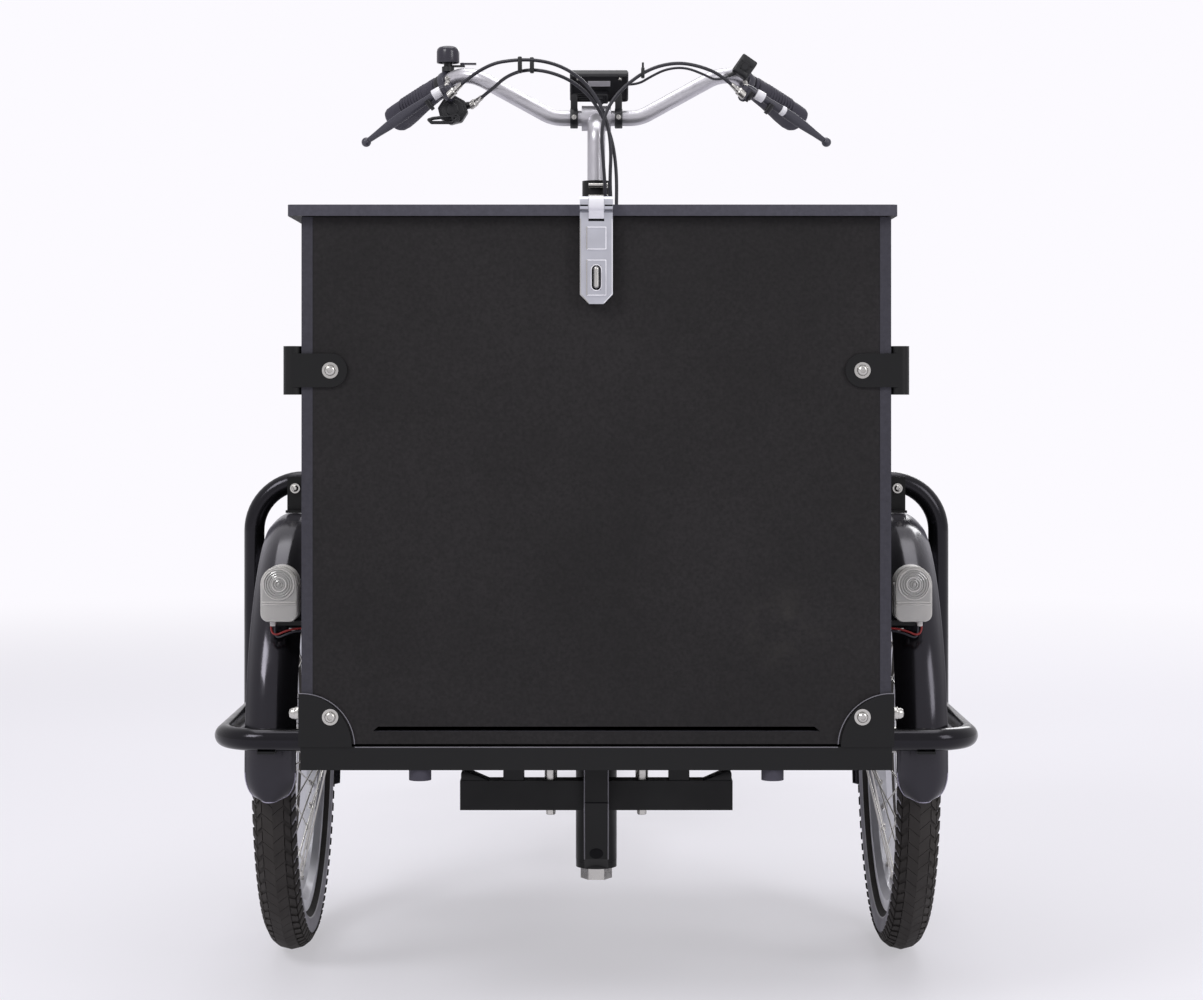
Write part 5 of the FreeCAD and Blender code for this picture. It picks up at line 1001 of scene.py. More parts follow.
class TRICYCLE_OT_bar_fittings(bpy.types.Operator):
    """Barrel adjusters, clamp screws, and the bell on its stepped stalk"""
    bl_idname = "tricycle.bar_fittings"
    bl_label = "Bar Fittings"

    def execute(self, context):
        bm = bmesh.new()
        profile = [(0, 0)]
        for k in range(5):
            profile += [(5.4, k * 2.4), (5.9, k * 2.4 + 0.6), (5.9, k * 2.4 + 1.6)]
        profile += [(4.2, 12.4), (4.0, 17), (2.6, 18), (0, 18)]
        for route in LEVER_CABLES:
            start, way = cable_start(route)
            turned(bm, profile, start - way * 15, way, 20)
        for side in (1, -1):
            ring = perch(side)[1]
            for lift in (-1, 1):
                button_head(bm, ring + at(0, -16.4, lift * 3.2), at(0, -1, 0.1 * lift), 2.6, 2.4, 1.3)
            pivot = BAR + mirrored(LEVER_PATH[0], side)
            button_head(bm, pivot + at(0, 0, 8.2), at(0.5 * side, -0.2, 0.8).normalized(), 3.6, 2.2, 1.6)
        piece("bar_screws", bm, "front_carriage", ["turned stainless steel"])

        bm = bmesh.new()
        turned(bm, [(0, 22.8), (12, 21), (14.6, 16), (14.6, 0.4), (16.2, 0), (16.5, 1.4), (16.5, 16), (15.6, 20),
                    (13, 22.8), (8, 24.2), (0, 24.6)], BELL, (0, 0, 1), 48)
        piece("bell_dome", bm, "front_carriage", ["anodised bell dome"], ["bell"])
        bm = bmesh.new()
        foot = perch(1)[1].z + 15 - BELL.z
        turned(bm, [(0, foot), (9, foot), (9, foot + 7), (6.2, foot + 8), (6.2, foot + 12), (8, foot + 12.6),
                    (8, foot + 16), (5.4, foot + 17), (5.4, -9), (8.6, -8.4), (8.6, -5.6), (4.2, -5), (4.2, 20),
                    (0, 20)], BELL, (0, 0, 1), 32)
        block(bm, BELL + at(3, -3.5, -6), BELL + at(24.5, 3.5, -3.2), 0.6, 2)
        rod(bm, BELL + at(21, 0, -5), BELL + at(21, 0, 0.4), 2.4, sides=16)
        piece("bell_stalk", bm, "front_carriage", ["moulded black plastic"])
        return {"FINISHED"}


DISPLAY_CLAMP = 32
DISPLAY_TILT = math.radians(40)


class TRICYCLE_OT_display(bpy.types.Operator):
    """Display seen from behind: ribbed back, bare label, connector and two ring clamps"""
    bl_idname = "tricycle.display"
    bl_label = "Display"

    def execute(self, context):
        place = Matrix.Translation(BAR + at(4, -6, 46)) @ Matrix.Rotation(DISPLAY_TILT, 4, "X")
        bm = bmesh.new()
        block(bm, at(-42, -7, -24), at(42, 7, 24), 3.5, 4, place)
        back = place @ Matrix.Translation(at(0, -6.4, 0)) @ FRONTWARD
        ridge(bm, rounded(40, 22, 3, 4), 2.2, 1.6, back)
        for k in range(4):
            block(bm, at(-34, -8.2, -19 + 3.2 * k), at(-12, -6, -17.6 + 3.2 * k), 0.4, 1, place)
        block(bm, at(-9, -17, -20), at(13, -6, -4), 2, 3, place)
        plug = place @ at(2, -17, -12)
        way = place.to_3x3() @ at(0, -1, 0)
        rod(bm, plug, plug + way * 6, 6.2, 5.4, sides=28)
        rod(bm, plug + way * 6, plug + way * 8, 4.2, sides=24)
        for side in (-1, 1):
            heart = BAR + at(side * DISPLAY_CLAMP, 0, 0)
            turned(bm, [(11.6, -5.5), (14.0, -5.5), (14.6, -4.6), (14.6, 4.6), (14.0, 5.5), (11.6, 5.5)], heart,
                   (1, 0, 0), 40, closed=True)
            block(bm, heart + at(-5, -6, 10), heart + at(5, 6, 44), 1.4, 2)
            block(bm, heart + at(-4, -19, -4), heart + at(4, -13, 4), 1.0, 2)
        piece("display_case", bm, "front_carriage", ["moulded black plastic"], ["display"])

        bm = bmesh.new()
        block(bm, at(-16, -7.6, 4), at(16, -6.6, 13), 0.2, 1, place)
        piece("display_label", bm, "front_carriage", ["printed blank label"], closed=False)
        bm = bmesh.new()
        glass = place @ Matrix.Translation(at(0, 6.9, 0)) @ REARWARD
        plate(bm, rounded(36, 19, 3, 5), 0.5, glass, 0.2, 1)
        piece("display_glass", bm, "front_carriage", ["stove-enamelled steel"], closed=False)
        bm = bmesh.new()
        for x in (-30, 30):
            button_head(bm, place @ at(x, -7, 17), place.to_3x3() @ at(0, -1, 0), 2.2, 1.8, 1.0)
        for side in (-1, 1):
            button_head(bm, BAR + at(side * DISPLAY_CLAMP, -19, 0), at(0, -1, 0), 2.4, 2.2, 1.2)
        piece("display_screws", bm, "front_carriage", ["turned stainless steel"])
        return {"FINISHED"}


def drawn_cable(name, route, radius, material, replaces=(), body="front_carriage", loop=False):
    """A sheathed cable along its route, or a loop of piping, as a smooth curve that the route's points pull."""
    curve = bpy.data.curves.new(name, "CURVE")
    curve.dimensions = "3D"
    curve.bevel_depth = radius * MM
    curve.bevel_resolution = 4 if loop else 5
    curve.use_fill_caps = not loop
    spline = curve.splines.new("NURBS")
    spline.points.add(len(route) - 1)
    for point, spot in zip(spline.points, route):
        point.co = (*spot * MM, 1)
    spline.order_u = 3
    spline.use_cyclic_u = loop
    spline.use_endpoint_u = not loop
    spline.resolution_u = 8 if loop else 10
    curve.materials.append(bpy.data.materials[material])
    fit(name, curve, body, replaces)


class TRICYCLE_OT_cables(bpy.types.Operator):
    """Control cables with their clips, tie and ferrules"""
    bl_idname = "tricycle.cables"
    bl_label = "Cables"

    def execute(self, context):
        sizes = context.scene.tricycle_sizes
        for name, route in CABLE_ROUTES.items():
            radius = (sizes.lead_radius if name == "display_lead" else sizes.cable_radius) / MM
            drawn_cable(name, [BAR + at(*p) for p in route], radius, "extruded cable sheath",
                        ["control_cables"] if name == "shift_cable" else ())
        bm = bmesh.new()
        for x, low, high in ((-108, 57, 80), (-91, 57, 79)):
            block(bm, BAR + at(x - 3, -75, low), BAR + at(x + 3, -62, high), 1.8, 3)
        block(bm, BAR + at(63, -89, 48), BAR + at(68, -79, 63), 1.2, 2)
        block(bm, BAR + at(64, -88, 61), BAR + at(67, -85, 70), 0.6, 1)
        # Loom clamp where the cables meet the post's foot
        block(bm, BAR + at(8, -84, -176), BAR + at(33, -70, -166), 1.5, 2)
        piece("cable_clips", bm, "front_carriage", ["moulded black plastic"])
        bm = bmesh.new()
        for name in LEVER_CABLES:
            start, way = cable_start(name)
            turned(bm, [(0, 0), (3.4, 0), (3.6, 1), (3.6, 9), (2.9, 11), (0, 11)], start + way, way, 24)
        piece("cable_ferrules", bm, "front_carriage", ["turned stainless steel"])
        return {"FINISHED"}


class TRICYCLE_OT_bar_clamps(bpy.types.Operator):
    """Lever perches, the shifter's faceted pod and the assist switch"""
    bl_idname = "tricycle.bar_clamps"
    bl_label = "Bar Clamps"

    def execute(self, context):
        bm = bmesh.new()
        for side, route in ((1, "brake_cable_right"), (-1, "brake_cable_left")):
            along, ring = perch(side)
            axis = mirrored(LEVER_AXIS, side)
            pivot = BAR + mirrored(LEVER_PATH[0], side)
            foot = pivot - axis * 10
            turned(bm, [(11.4, -6), (16, -6), (16.8, -4.6), (16.8, 4.6), (16, 6), (11.4, 6)], ring, along, 40,
                   closed=True)
            arm = (foot - ring).normalized()
            loft(bm, [(ring + arm * 13, arm, along, 7, 6), ((ring + foot) / 2 + arm * 4, arm, along, 6, 5),
                      (foot + arm * 2, arm, along, 6.6, 5.4)], 20)
            rod(bm, foot, pivot, 8, sides=32)
            rod(bm, foot - axis * 1.5, pivot + axis * 10.2, 2.6, sides=20)
            start, way = cable_start(route)
            rod(bm, foot, start - way * 14, 4.6, sides=20)
        piece("lever_perches", bm, "front_carriage", ["painted lever alloy"], ["bar_controls"])

        bm = bmesh.new()
        heart = BAR + at(-207, 29, 13)
        place = Matrix.Translation(heart) @ FRONTWARD @ Matrix.Rotation(math.radians(14), 4, "Z")
        for radius, squash, depth in ((22, 0.94, 25), (18, 0.9, 28.5), (10, 1.0, 30)):
            outline = [(x, y * squash) for x, y in arc((0, 0), radius, 22.5, 337.5, 7)]
            plate(bm, outline, depth, place, 1.6, 3)
        along, ring = perch(-1)
        ring += along * 11
        turned(bm, [(11.4, -4), (15.2, -4), (15.6, -3), (15.6, 3), (15.2, 4), (11.4, 4)], ring, along, 36,
               closed=True)
        rod(bm, heart + at(0, -12, 0), ring - (ring - heart).normalized() * 12, 7, sides=20)
        start, way = cable_start("shift_cable")
        rod(bm, heart + at(10, -12, 6), start - way * 12, 6, 5, sides=8)
        piece("shifter_pod", bm, "front_carriage", ["moulded black plastic"])

        bm = bmesh.new()
        heart = BAR + at(213, -6, 73)
        place = Matrix.Translation(heart) @ Matrix.Rotation(math.radians(35), 4, "Y")
        block(bm, at(-12.5, -10, -15), at(12.5, 10, 15), 2.6, 3, place)
        block(bm, at(-10, -11, 4), at(10, -9.4, 12.5), 0.8, 2, place)
        block(bm, at(-10, -11, -12.5), at(10, -9.4, -6.5), 0.8, 2, place)
        ring = perch(1)[1]
        rod(bm, heart, ring - (ring - heart).normalized() * 15, 6, 5, sides=20)
        rod(bm, heart, BAR + at(*CABLE_ROUTES["display_lead"][-1]), 3.6, 2.6, sides=20)
        button = [(5.4, 0), (7.2, 0), (6.8, 1.2), (5.6, 1.4)]
        turned(bm, button, heart + at(0, -10, 0), (0, -1, 0), 32, closed=True)
        piece("assist_switch", bm, "front_carriage", ["moulded black plastic"])
        return {"FINISHED"}


FRONT_WHEEL = at(371, -608.5, 254)
# Radius of a mudguard's crown, drop of its edges below that, thickness, and angles from its front: ends and tongue
MUDGUARD_RADIUS = 282
MUDGUARD_DROP = 15
MUDGUARD_WALL = 1.4
MUDGUARD_START, MUDGUARD_END, MUDGUARD_TONGUE = -7.0, 200.0, 6.5


def tongue_width(share):
    """Share of a mudguard's full width on its round tongue, from its tip at 0 to its root at 1."""
    return 0.4 + 0.6 * math.sqrt(1 - (1 - share) ** 2)


class TRICYCLE_OT_mudguards(bpy.types.Operator):
    """Domed front mudguards with rolled edges and round front tongues"""
    bl_idname = "tricycle.mudguards"
    bl_label = "Mudguards"

    def execute(self, context):
        ring, half, wall = MUDGUARD_RADIUS, box("front_fenders")[1].x - FRONT_WHEEL.x, MUDGUARD_WALL
        start, end, tongue = MUDGUARD_START, MUDGUARD_END, MUDGUARD_TONGUE
        bm = bmesh.new()
        for side in (1, -1):
            centre = mirrored(FRONT_WHEEL, side)
            outer = [(k / 9 * half, ring - MUDGUARD_DROP * abs(k / 9) ** 2.6) for k in range(-9, 10)]
            rolled = [(half + 0.9, ring - 15.8), (half + 0.9, ring - 17.2), (half, ring - 17.6)]
            inner = [(x * (1 - wall / half), r - wall) for x, r in reversed(outer)]
            profile = outer + rolled + inner + [(-x, r) for x, r in reversed(rolled)]
            turn = math.radians(start)
            verts = [bm.verts.new(centre + at(x, -r * math.cos(turn), r * math.sin(turn))) for x, r in profile]
            face = bm.faces.new(verts)
            bmesh.ops.spin(bm, geom=[face], cent=centre, axis=(-1, 0, 0), angle=math.radians(end - start),
                           steps=300, use_duplicate=False)
            # The tongue: the front end narrows in a round
            for vert in bm.verts:
                spot = vert.co - centre
                if abs(spot.x) > 2 * half:
                    continue
                angle = math.degrees(math.atan2(spot.z, -spot.y))
                if start - 0.1 < angle < start + tongue:
                    share = max((angle - start) / tongue, 0)
                    vert.co.x = centre.x + spot.x * tongue_width(share)
        piece("domed_mudguards", bm, "front_carriage", ["stove-enamelled steel"],
              ["front_fenders"], 50)
        for side, name in SIDES:
            centre = mirrored(FRONT_WHEEL, side)
            route = []
            for k in range(-12, 13):
                # Down one edge of the tongue, across its foot and up the other edge
                share = max(abs(k) - 4, 0) / 8
                across = math.copysign(tongue_width(share), k) if abs(k) > 4 else 0.1 * k
                turn = math.radians(start + tongue * share)
                out = ring - MUDGUARD_DROP * min(abs(k) / 4, 1) ** 2.6
                route.append(centre + at(across * half, -out * math.cos(turn), out * math.sin(turn)))
            # Painted highlight: a thin pale bead along the tongue's edges
            drawn_cable("mudguard_bead_" + name, route, 0.7, "rubbed enamel edge")
        return {"FINISHED"}


class TRICYCLE_OT_lamp_leads(bpy.types.Operator):
    """Red and black lamp leads, and lens rings"""
    bl_idname = "tricycle.lamp_leads"
    bl_label = "Lamp Leads"

    def execute(self, context):
        low, high = box("headlight_housings")
        half = (high.z - low.z) * LAMP_WIDTH_SHARE / 2
        leads = (("red lead sheath", 16, 2.2), ("extruded cable sheath", 19, -2.2))
        for side, name in SIDES:
            x = side * (high.x - half)
            foot = x + side * half * LAMP_FOOT_SHARE
            for k, (sheath, drop, lead) in enumerate(leads):
                route = [at(foot + side * lead, low.y + 10, low.z - 4),
                         at(foot + side * lead, low.y + 9, low.z - (drop - 4)),
                         at(foot - side * (4 + 2 * k), low.y + 8, low.z - drop),
                         at(foot - side * (14 + 3 * k), low.y + 9, low.z - (drop - 5)),
                         at(foot - side * 28, low.y + 12, low.z - (drop - 8)),
                         at(side * 322, low.y + 16, low.z - (drop - 8)),
                         at(side * 314, low.y + 18, low.z - (drop - 8))]
                drawn_cable("lamp_lead_%s_%d" % (name, k), route, 1.2, sheath,
                            ["lamp_leads"] if side > 0 and k == 0 else ())
            heart = at(x, low.y, high.z - half)
            bm = bmesh.new()
            for share in (0.96, 0.44):
                ring = (half - 3.0) * share
                turned(bm, [(ring - 0.7, -0.4), (ring - 0.5, 1.1), (ring + 0.5, 1.1), (ring + 0.7, -0.4)], heart,
                       (0, -1, 0), 48, closed=True)
            bar = high.z - 2 * half + 1.5
            for lift in (0, 3):
                block(bm, (x - half + 2, low.y - 0.9, bar - (lift + 0.9)),
                      (x + half - 2, low.y + 0.5, bar - lift), 0.3, 1)
            piece("lens_rings_" + name, bm, "front_carriage", ["pale moulded plastic"])
        return {"FINISHED"}


class TRICYCLE_OT_plate_edges(bpy.types.Operator):
    """Painted highlights along the edges of the corner plates and of the front rail, and the collar bolts on the
    post
    """
    bl_idname = "tricycle.plate_edges"
    bl_label = "Plate Edges"

    def execute(self, context):
        low, high = box("corner_plates")
        bm = bmesh.new()
        for side in (1, -1):
            corner = at(side * high.x, low.y, low.z)
            start = corner + at(0, 0.2, 57)
            verts = bmesh.ops.create_circle(bm, cap_ends=True, segments=8, radius=0.55,
                                            matrix=facing(start, (-side, 0, 0)))["verts"]
            faces = list({f for v in verts for f in v.link_faces})
            bmesh.ops.spin(bm, geom=faces, cent=corner + at(-side * 3, 0.2, 0), axis=(0, -side, 0),
                           angle=math.radians(90), steps=24, use_duplicate=False)
        # Painted highlight along the upper edge of the front rail, between the plates
        rail_low, rail_high = box("base_frame")
        rail = at(high.x - 60, rail_low.y + 0.3, rail_high.z - 0.5)
        rod(bm, at(-rail.x, rail.y, rail.z), rail, 0.6, sides=8)
        piece("plate_edges", bm, "front_carriage", ["rubbed coat edge"])
        bm = bmesh.new()
        for lift in (-8, -24):
            seat = POST_COLLAR + at(11, -24, lift)
            rod(bm, POST_COLLAR + at(-11, -24, lift), seat, 3.6, sides=20)
            button_head(bm, seat, at(1, 0, 0), 4.2, 4.4, 2)
        piece("collar_bolts", bm, "front_carriage", ["turned stainless steel"])
        return {"FINISHED"}


class TRICYCLE_OT_strut(bpy.types.Operator):
    """Weld seam, pale rods of painted highlight along the edges and a dark disc of painted shadow in the open foot
    of the kingpin's strut, and the cross-member's cleats and ends
    """
    bl_idname = "tricycle.strut"
    bl_label = "Strut"

    def execute(self, context):
        half = 14
        top = at(0, -846.5, 272.5)
        seam = at(0, -846.5, 213)
        foot = at(0, -794.5, 139)
        # Painted highlights: pale rods along the strut's edges
        bm = bmesh.new()
        for side in (-1, 1):
            edge = at(side * (half - 0.3), 0, 0)
            rod(bm, top + edge, seam + edge, 0.7, sides=8)
            rod(bm, seam + edge, foot + edge, 0.7, sides=8)
        piece("strut_edge_highlights", bm, "front_carriage", ["rubbed coat edge"])

        # Cleats between the cross-member and the rails, and its turned-up ends
        bm = bmesh.new()
        for side in (-1, 1):
            cleat = [(84, 233), (108, 233), (108, 281), (84, 281)]
            ear = [(122, 233), (157, 233), (157, 243), (152, 246)]
            place = Matrix.Translation((0, -789.5, 0)) @ FRONTWARD
            for outline in (cleat, ear):
                plate(bm, [(side * x, z) for x, z in outline], 28, place, 1.2)
        piece("yoke_cleats", bm, "front_carriage", ["powder-coated steel"])

        bm = bmesh.new()
        block(bm, seam + at(-half, -0.4, -0.7), seam + at(half, 0.4, 0.7))
        # Painted shadow: a dark disc in the strut's open foot
        lean = (foot - seam).normalized()
        out = at(0, lean.z, -lean.y)
        mouth = foot - lean * 9
        rod(bm, mouth - out, mouth + out * 0.4, 8, sides=32)
        piece("strut_seam_and_foot_shadow", bm, "front_carriage", ["rolled shadow gap"])
        return {"FINISHED"}


# Saddle sections from nose to tail: share of the length; half width, height of the middle and half height
SADDLE_STATIONS = (
    (0.0, 16, 28, 8), (0.03, 22, 28, 15), (0.10, 26, 29, 20), (0.25, 31, 30, 22), (0.42, 42, 30, 22),
    (0.58, 66, 31, 23), (0.72, 92, 33, 25), (0.84, 100, 35, 25), (0.93, 96, 36, 23), (0.98, 82, 36, 18),
    (1.0, 64, 36, 12))
# How far the cover may swell, how high its held foot reaches, how fine its mesh is, and the pressure and frames
SADDLE_MOVE = 8
SADDLE_FOOT = 10
SADDLE_VOXEL = 5
SADDLE_PRESSURE = 4
SADDLE_FRAMES = 20


def inflate(pad, cap):
    """Swells a closed pad as cloth under pressure, its foot held, and keeps the result in its mesh."""
    scene = bpy.context.scene
    rest = [vert.co.copy() for vert in pad.data.vertices]
    foot = min(spot.z for spot in rest) + SADDLE_FOOT * MM
    group = pad.vertex_groups.new(name="foot")
    group.add([k for k, spot in enumerate(rest) if spot.z < foot], 1.0, "REPLACE")
    cloth = pad.modifiers.new("Cloth", "CLOTH")
    settings = cloth.settings
    settings.use_pressure = True
    settings.uniform_pressure_force = SADDLE_PRESSURE
    settings.effector_weights.gravity = 0
    settings.vertex_group_mass = group.name
    cloth.point_cache.frame_end = SADDLE_FRAMES
    for number in range(1, SADDLE_FRAMES + 1):
        scene.frame_set(number)
    swollen = bpy.data.meshes.new_from_object(pad.evaluated_get(bpy.context.evaluated_depsgraph_get()))
    for vert, spot in zip(swollen.vertices, rest):
        move = vert.co - spot
        if move.length > cap:
            vert.co = spot + move * (cap / move.length)
    pad.modifiers.clear()
    pad.vertex_groups.clear()
    pad.data = swollen
    scene.frame_set(1)


class TRICYCLE_OT_saddle(bpy.types.Operator):
    """Padded saddle blown up as cloth, with piping and a moulded base"""
    bl_idname = "tricycle.saddle"
    bl_label = "Saddle"

    def execute(self, context):
        low, high = box("saddle")
        span = high.y - low.y
        sections = []
        for share, half, middle, rise in SADDLE_STATIONS:
            centre = at(0, low.y + span * (0.02 + 0.96 * share), low.z + (middle + 1))
            sections.append((centre, at(0, 1, 0), at(1, 0, 0), half, rise))
        bm = bmesh.new()
        loft(bm, sections, 40)
        pad = piece("saddle_pad", bm, "seat", ["embossed saddle vinyl"], ["saddle"], closed=False)
        remesh = pad.modifiers.new("Remesh", "REMESH")
        remesh.mode = "VOXEL"
        remesh.voxel_size = SADDLE_VOXEL * MM
        bpy.context.view_layer.update()
        pad.data = bpy.data.meshes.new_from_object(pad.evaluated_get(bpy.context.evaluated_depsgraph_get()))
        pad.modifiers.clear()
        inflate(pad, SADDLE_MOVE * MM)
        pad.data.shade_smooth()
        if not pad.data.materials:
            pad.data.materials.append(bpy.data.materials["embossed saddle vinyl"])
        fine = pad.modifiers.new("Subdivision", "SUBSURF")
        fine.levels = fine.render_levels = 1

        # Piping round the widest line, and the moulded base under the pad
        ring = [s[0] + at(side * (s[3] + 3.4), 0, -9)
                for side, part in ((1, sections[1:-1]), (-1, sections[-2:0:-1])) for s in part]
        drawn_cable("saddle_piping", ring, 1.9, "moulded black plastic", body="seat", loop=True)

        bm = bmesh.new()
        outline = [(s[0].x + side * s[3] * 0.92, s[0].y)
                   for side, part in ((1, sections), (-1, sections[::-1])) for s in part]
        plate(bm, outline, 8, Matrix.Translation((0, 0, low.z + 1)), 2, 2)
        piece("saddle_base", bm, "seat", ["moulded black plastic"], closed=False)
        return {"FINISHED"}


CHAINRING, CHAINRING_RADIUS = at(-54, 251.5, 290), 84.97
SPROCKET, SPROCKET_RADIUS = at(-54, 731.5, 329), 42.6
CHAIN_LINKS = 108
MOTOR = at(0, 241.5, 196)


def chain_loop(near, near_radius, far, far_radius, count):
    """Evenly spaced places round the loop of a chain over two wheels in the Y-Z plane."""
    apart = far - near
    reach, base = apart.length, math.atan2(apart.z, apart.y)
    slope = math.acos((near_radius - far_radius) / reach)
    straight = math.sqrt(reach ** 2 - (near_radius - far_radius) ** 2)
    runs = [(near_radius * (2 * math.pi - 2 * slope), near, near_radius, base + slope),
            (straight, None, 0, base + slope), (far_radius * 2 * slope, far, far_radius, base - slope),
            (straight, None, 0, base - slope)]
    total = sum(run[0] for run in runs)
    for k in range(count):
        left = total * k / count
        for number, (size, heart, radius, angle) in enumerate(runs):
            if left <= size:
                break
            left -= size
        if heart is not None:
            turn = angle + left / radius
            yield heart + at(0, math.cos(turn), math.sin(turn)) * radius
        else:
            # Lower run goes from the near wheel to the far one, the upper one comes back
            wheel, size_of, turn = near, near_radius, base - slope
            if number != 1:
                wheel, size_of, turn = far, far_radius, base + slope
            way = at(0, -math.sin(turn), math.cos(turn))
            yield wheel + at(0, math.cos(turn), math.sin(turn)) * size_of + way * left


class TRICYCLE_OT_chain(bpy.types.Operator):
    """Roller chain of inner and outer links"""
    bl_idname = "tricycle.chain"
    bl_label = "Chain"

    def execute(self, context):
        bm = bmesh.new()
        places = list(chain_loop(CHAINRING, CHAINRING_RADIUS, SPROCKET, SPROCKET_RADIUS, CHAIN_LINKS))
        for k, spot in enumerate(places):
            onward = places[(k + 1) % CHAIN_LINKS]
            rod(bm, spot + at(-3.4, 0, 0), spot + at(3.4, 0, 0), 3.6, sides=8)
            middle, along = (spot + onward) / 2, (onward - spot)
            half = along.length / 2
            out = 3.0 if k % 2 else 1.9
            for side in (-1, 1):
                place = facing(middle + at(side * out, 0, 0), (1, 0, 0))
                turn = place.inverted().to_3x3() @ along.normalized()
                place = place @ Matrix.Rotation(math.atan2(turn.y, turn.x), 4, "Z")
                upper = [(half + 2.6, 3), (half, 4.1), (0, 2.9), (-half, 4.1), (-half - 2.6, 3)]
                plate(bm, upper + [(x, -y) for x, y in reversed(upper)], 0.9, place)
        bmesh.ops.recalc_face_normals(bm, faces=bm.faces)
        piece("roller_chain", bm, "rear_frame", ["oiled chain steel"], ["chain"], closed=False)
        return {"FINISHED"}


class TRICYCLE_OT_pedals(bpy.types.Operator):
    """Pedals with two ribbed treads, end plates and reflectors"""
    bl_idname = "tricycle.pedals"
    bl_label = "Pedals"

    def execute(self, context):
        for name in ("pedal_left", "pedal_right"):
            low, high = box(name)
            mid = (low + high) / 2
            bm = bmesh.new()
            turned(bm, [(0, low.x), (8, low.x), (10.5, low.x + 6), (10.5, high.x - 6), (8, high.x - 1),
                        (0, high.x - 1)], at(0, mid.y, mid.z), (1, 0, 0), 28)
            for x in (low.x + 3, high.x - 13):
                block(bm, (x, low.y + 3, mid.z - 6), (x + 10, high.y - 3, mid.z + 6), 2, 2)
            for y in (low.y, high.y - 17):
                block(bm, (low.x + 2, y + 1, low.z + 2), (high.x - 2, y + 16, high.z - 2), 2.5, 2)
                count = 12
                for k in range(count):
                    x = low.x + 6 + (high.x - low.x - 12) * k / (count - 1)
                    block(bm, (x - 1.6, y + 2.5, low.z + 0.2), (x + 1.6, y + 14.5, high.z - 0.2), 0.5, 1)
            piece(name + "_treads", bm, name, ["moulded black plastic"], [name])
            bm = bmesh.new()
            for y in (low.y, high.y - 1.4):
                block(bm, (mid.x - 22, y, mid.z - 5.5), (mid.x + 22, y + 1.4, mid.z + 5.5), 0.5, 1)
            piece(name + "_reflectors", bm, name, ["amber reflector plastic"], closed=False)
        return {"FINISHED"}


class TRICYCLE_OT_drive_unit(bpy.types.Operator):
    """Battery case with its lock and lamp row, tail light, and the motor's fins"""
    bl_idname = "tricycle.drive_unit"
    bl_label = "Drive Unit"

    def execute(self, context):
        low, high = box("battery")
        mid = (low + high) / 2
        bm = bmesh.new()
        block(bm, low, high, 9, 4)
        for side in (-1, 1):
            x = low.x if side < 0 else high.x
            for k in range(3):
                z = low.z + (16 + 7 * k)
                block(bm, (x - 0.8, low.y + 40, z), (x + 0.8, high.y - 60, z + 2.4), 0.4, 1)
        piece("battery_case", bm, "rear_frame", ["moulded black plastic"], ["battery"])
        bm = bmesh.new()
        ridge(bm, rounded((high.x - low.x) / 2 + 0.5, (high.y - low.y) / 2 + 0.5, 9, 5), 3, 2.2,
              Matrix.Translation((mid.x, mid.y, mid.z + 12)))
        piece("battery_seam", bm, "rear_frame", ["rolled shadow gap"], closed=False)
        bm = bmesh.new()
        lock = at(high.x - 1, low.y + 60, mid.z + 4)
        turned(bm, [(0, 0), (9, 0), (9, 2), (7.4, 3), (6.6, 2.2), (0, 2.2)], lock, (1, 0, 0), 32)
        piece("battery_lock", bm, "rear_frame", ["turned stainless steel"])
        bm = bmesh.new()
        for k in range(4):
            spot = at(mid.x + (k - 1.5) * 9, low.y + 22, high.z - 0.6)
            rod(bm, spot, spot + at(0, 0, 1.2), 2.2, sides=16)
        piece("battery_lamps", bm, "rear_frame", ["pale moulded plastic"], closed=False)

        low, high = box("tail_light")
        mid = (low + high) / 2
        bm = bmesh.new()
        place = Matrix.Translation((mid.x, low.y + 7, mid.z)) @ REARWARD
        outline = rounded((high.x - low.x) / 2, (high.z - low.z) / 2, 9, 6)
        plate(bm, outline, high.y - low.y - 7, place, 2.4, 3)
        for k in range(9):
            x = low.x + (high.x - low.x) * (k + 1) / 10
            block(bm, (x - 0.7, high.y - 1, mid.z - 8), (x + 0.7, high.y + 0.6, mid.z + 8), 0.3, 1)
        piece("tail_lens", bm, "rear_frame", ["red tail lens plastic"], ["tail_light"])
        bm = bmesh.new()
        plate(bm, [(x * 1.03, y * 1.06) for x, y in outline], 7.4,
              Matrix.Translation((mid.x, low.y, mid.z)) @ REARWARD, 1.2, 2)
        piece("tail_base", bm, "rear_frame", ["moulded black plastic"], closed=False)

        bm = bmesh.new()
        for k in range(7):
            x = -27 + 9 * k
            turned(bm, [(51, x - 1.4), (54.5, x - 1.1), (54.5, x + 1.1), (51, x + 1.4)], MOTOR, (1, 0, 0), 56,
                   closed=True)
        for side in (-1, 1):
            cover = [(0, 39.5), (46, 39.5), (45, 42), (20, 43), (18, 41.4), (0, 41.4)]
            turned(bm, [(r, side * a) for r, a in cover], MOTOR, (1, 0, 0), 48)
        piece("motor_fins", bm, "rear_frame", ["cast motor case"])
        bm = bmesh.new()
        for side in (-1, 1):
            for k in range(6):
                turn = math.radians(60 * k + 15)
                button_head(bm, MOTOR + at(side * 41.6, 38 * math.cos(turn), 38 * math.sin(turn)),
                            at(side, 0, 0), 3.0, 2.4, 1.4)
        piece("motor_screws", bm, "rear_frame", ["turned stainless steel"])
        return {"FINISHED"}


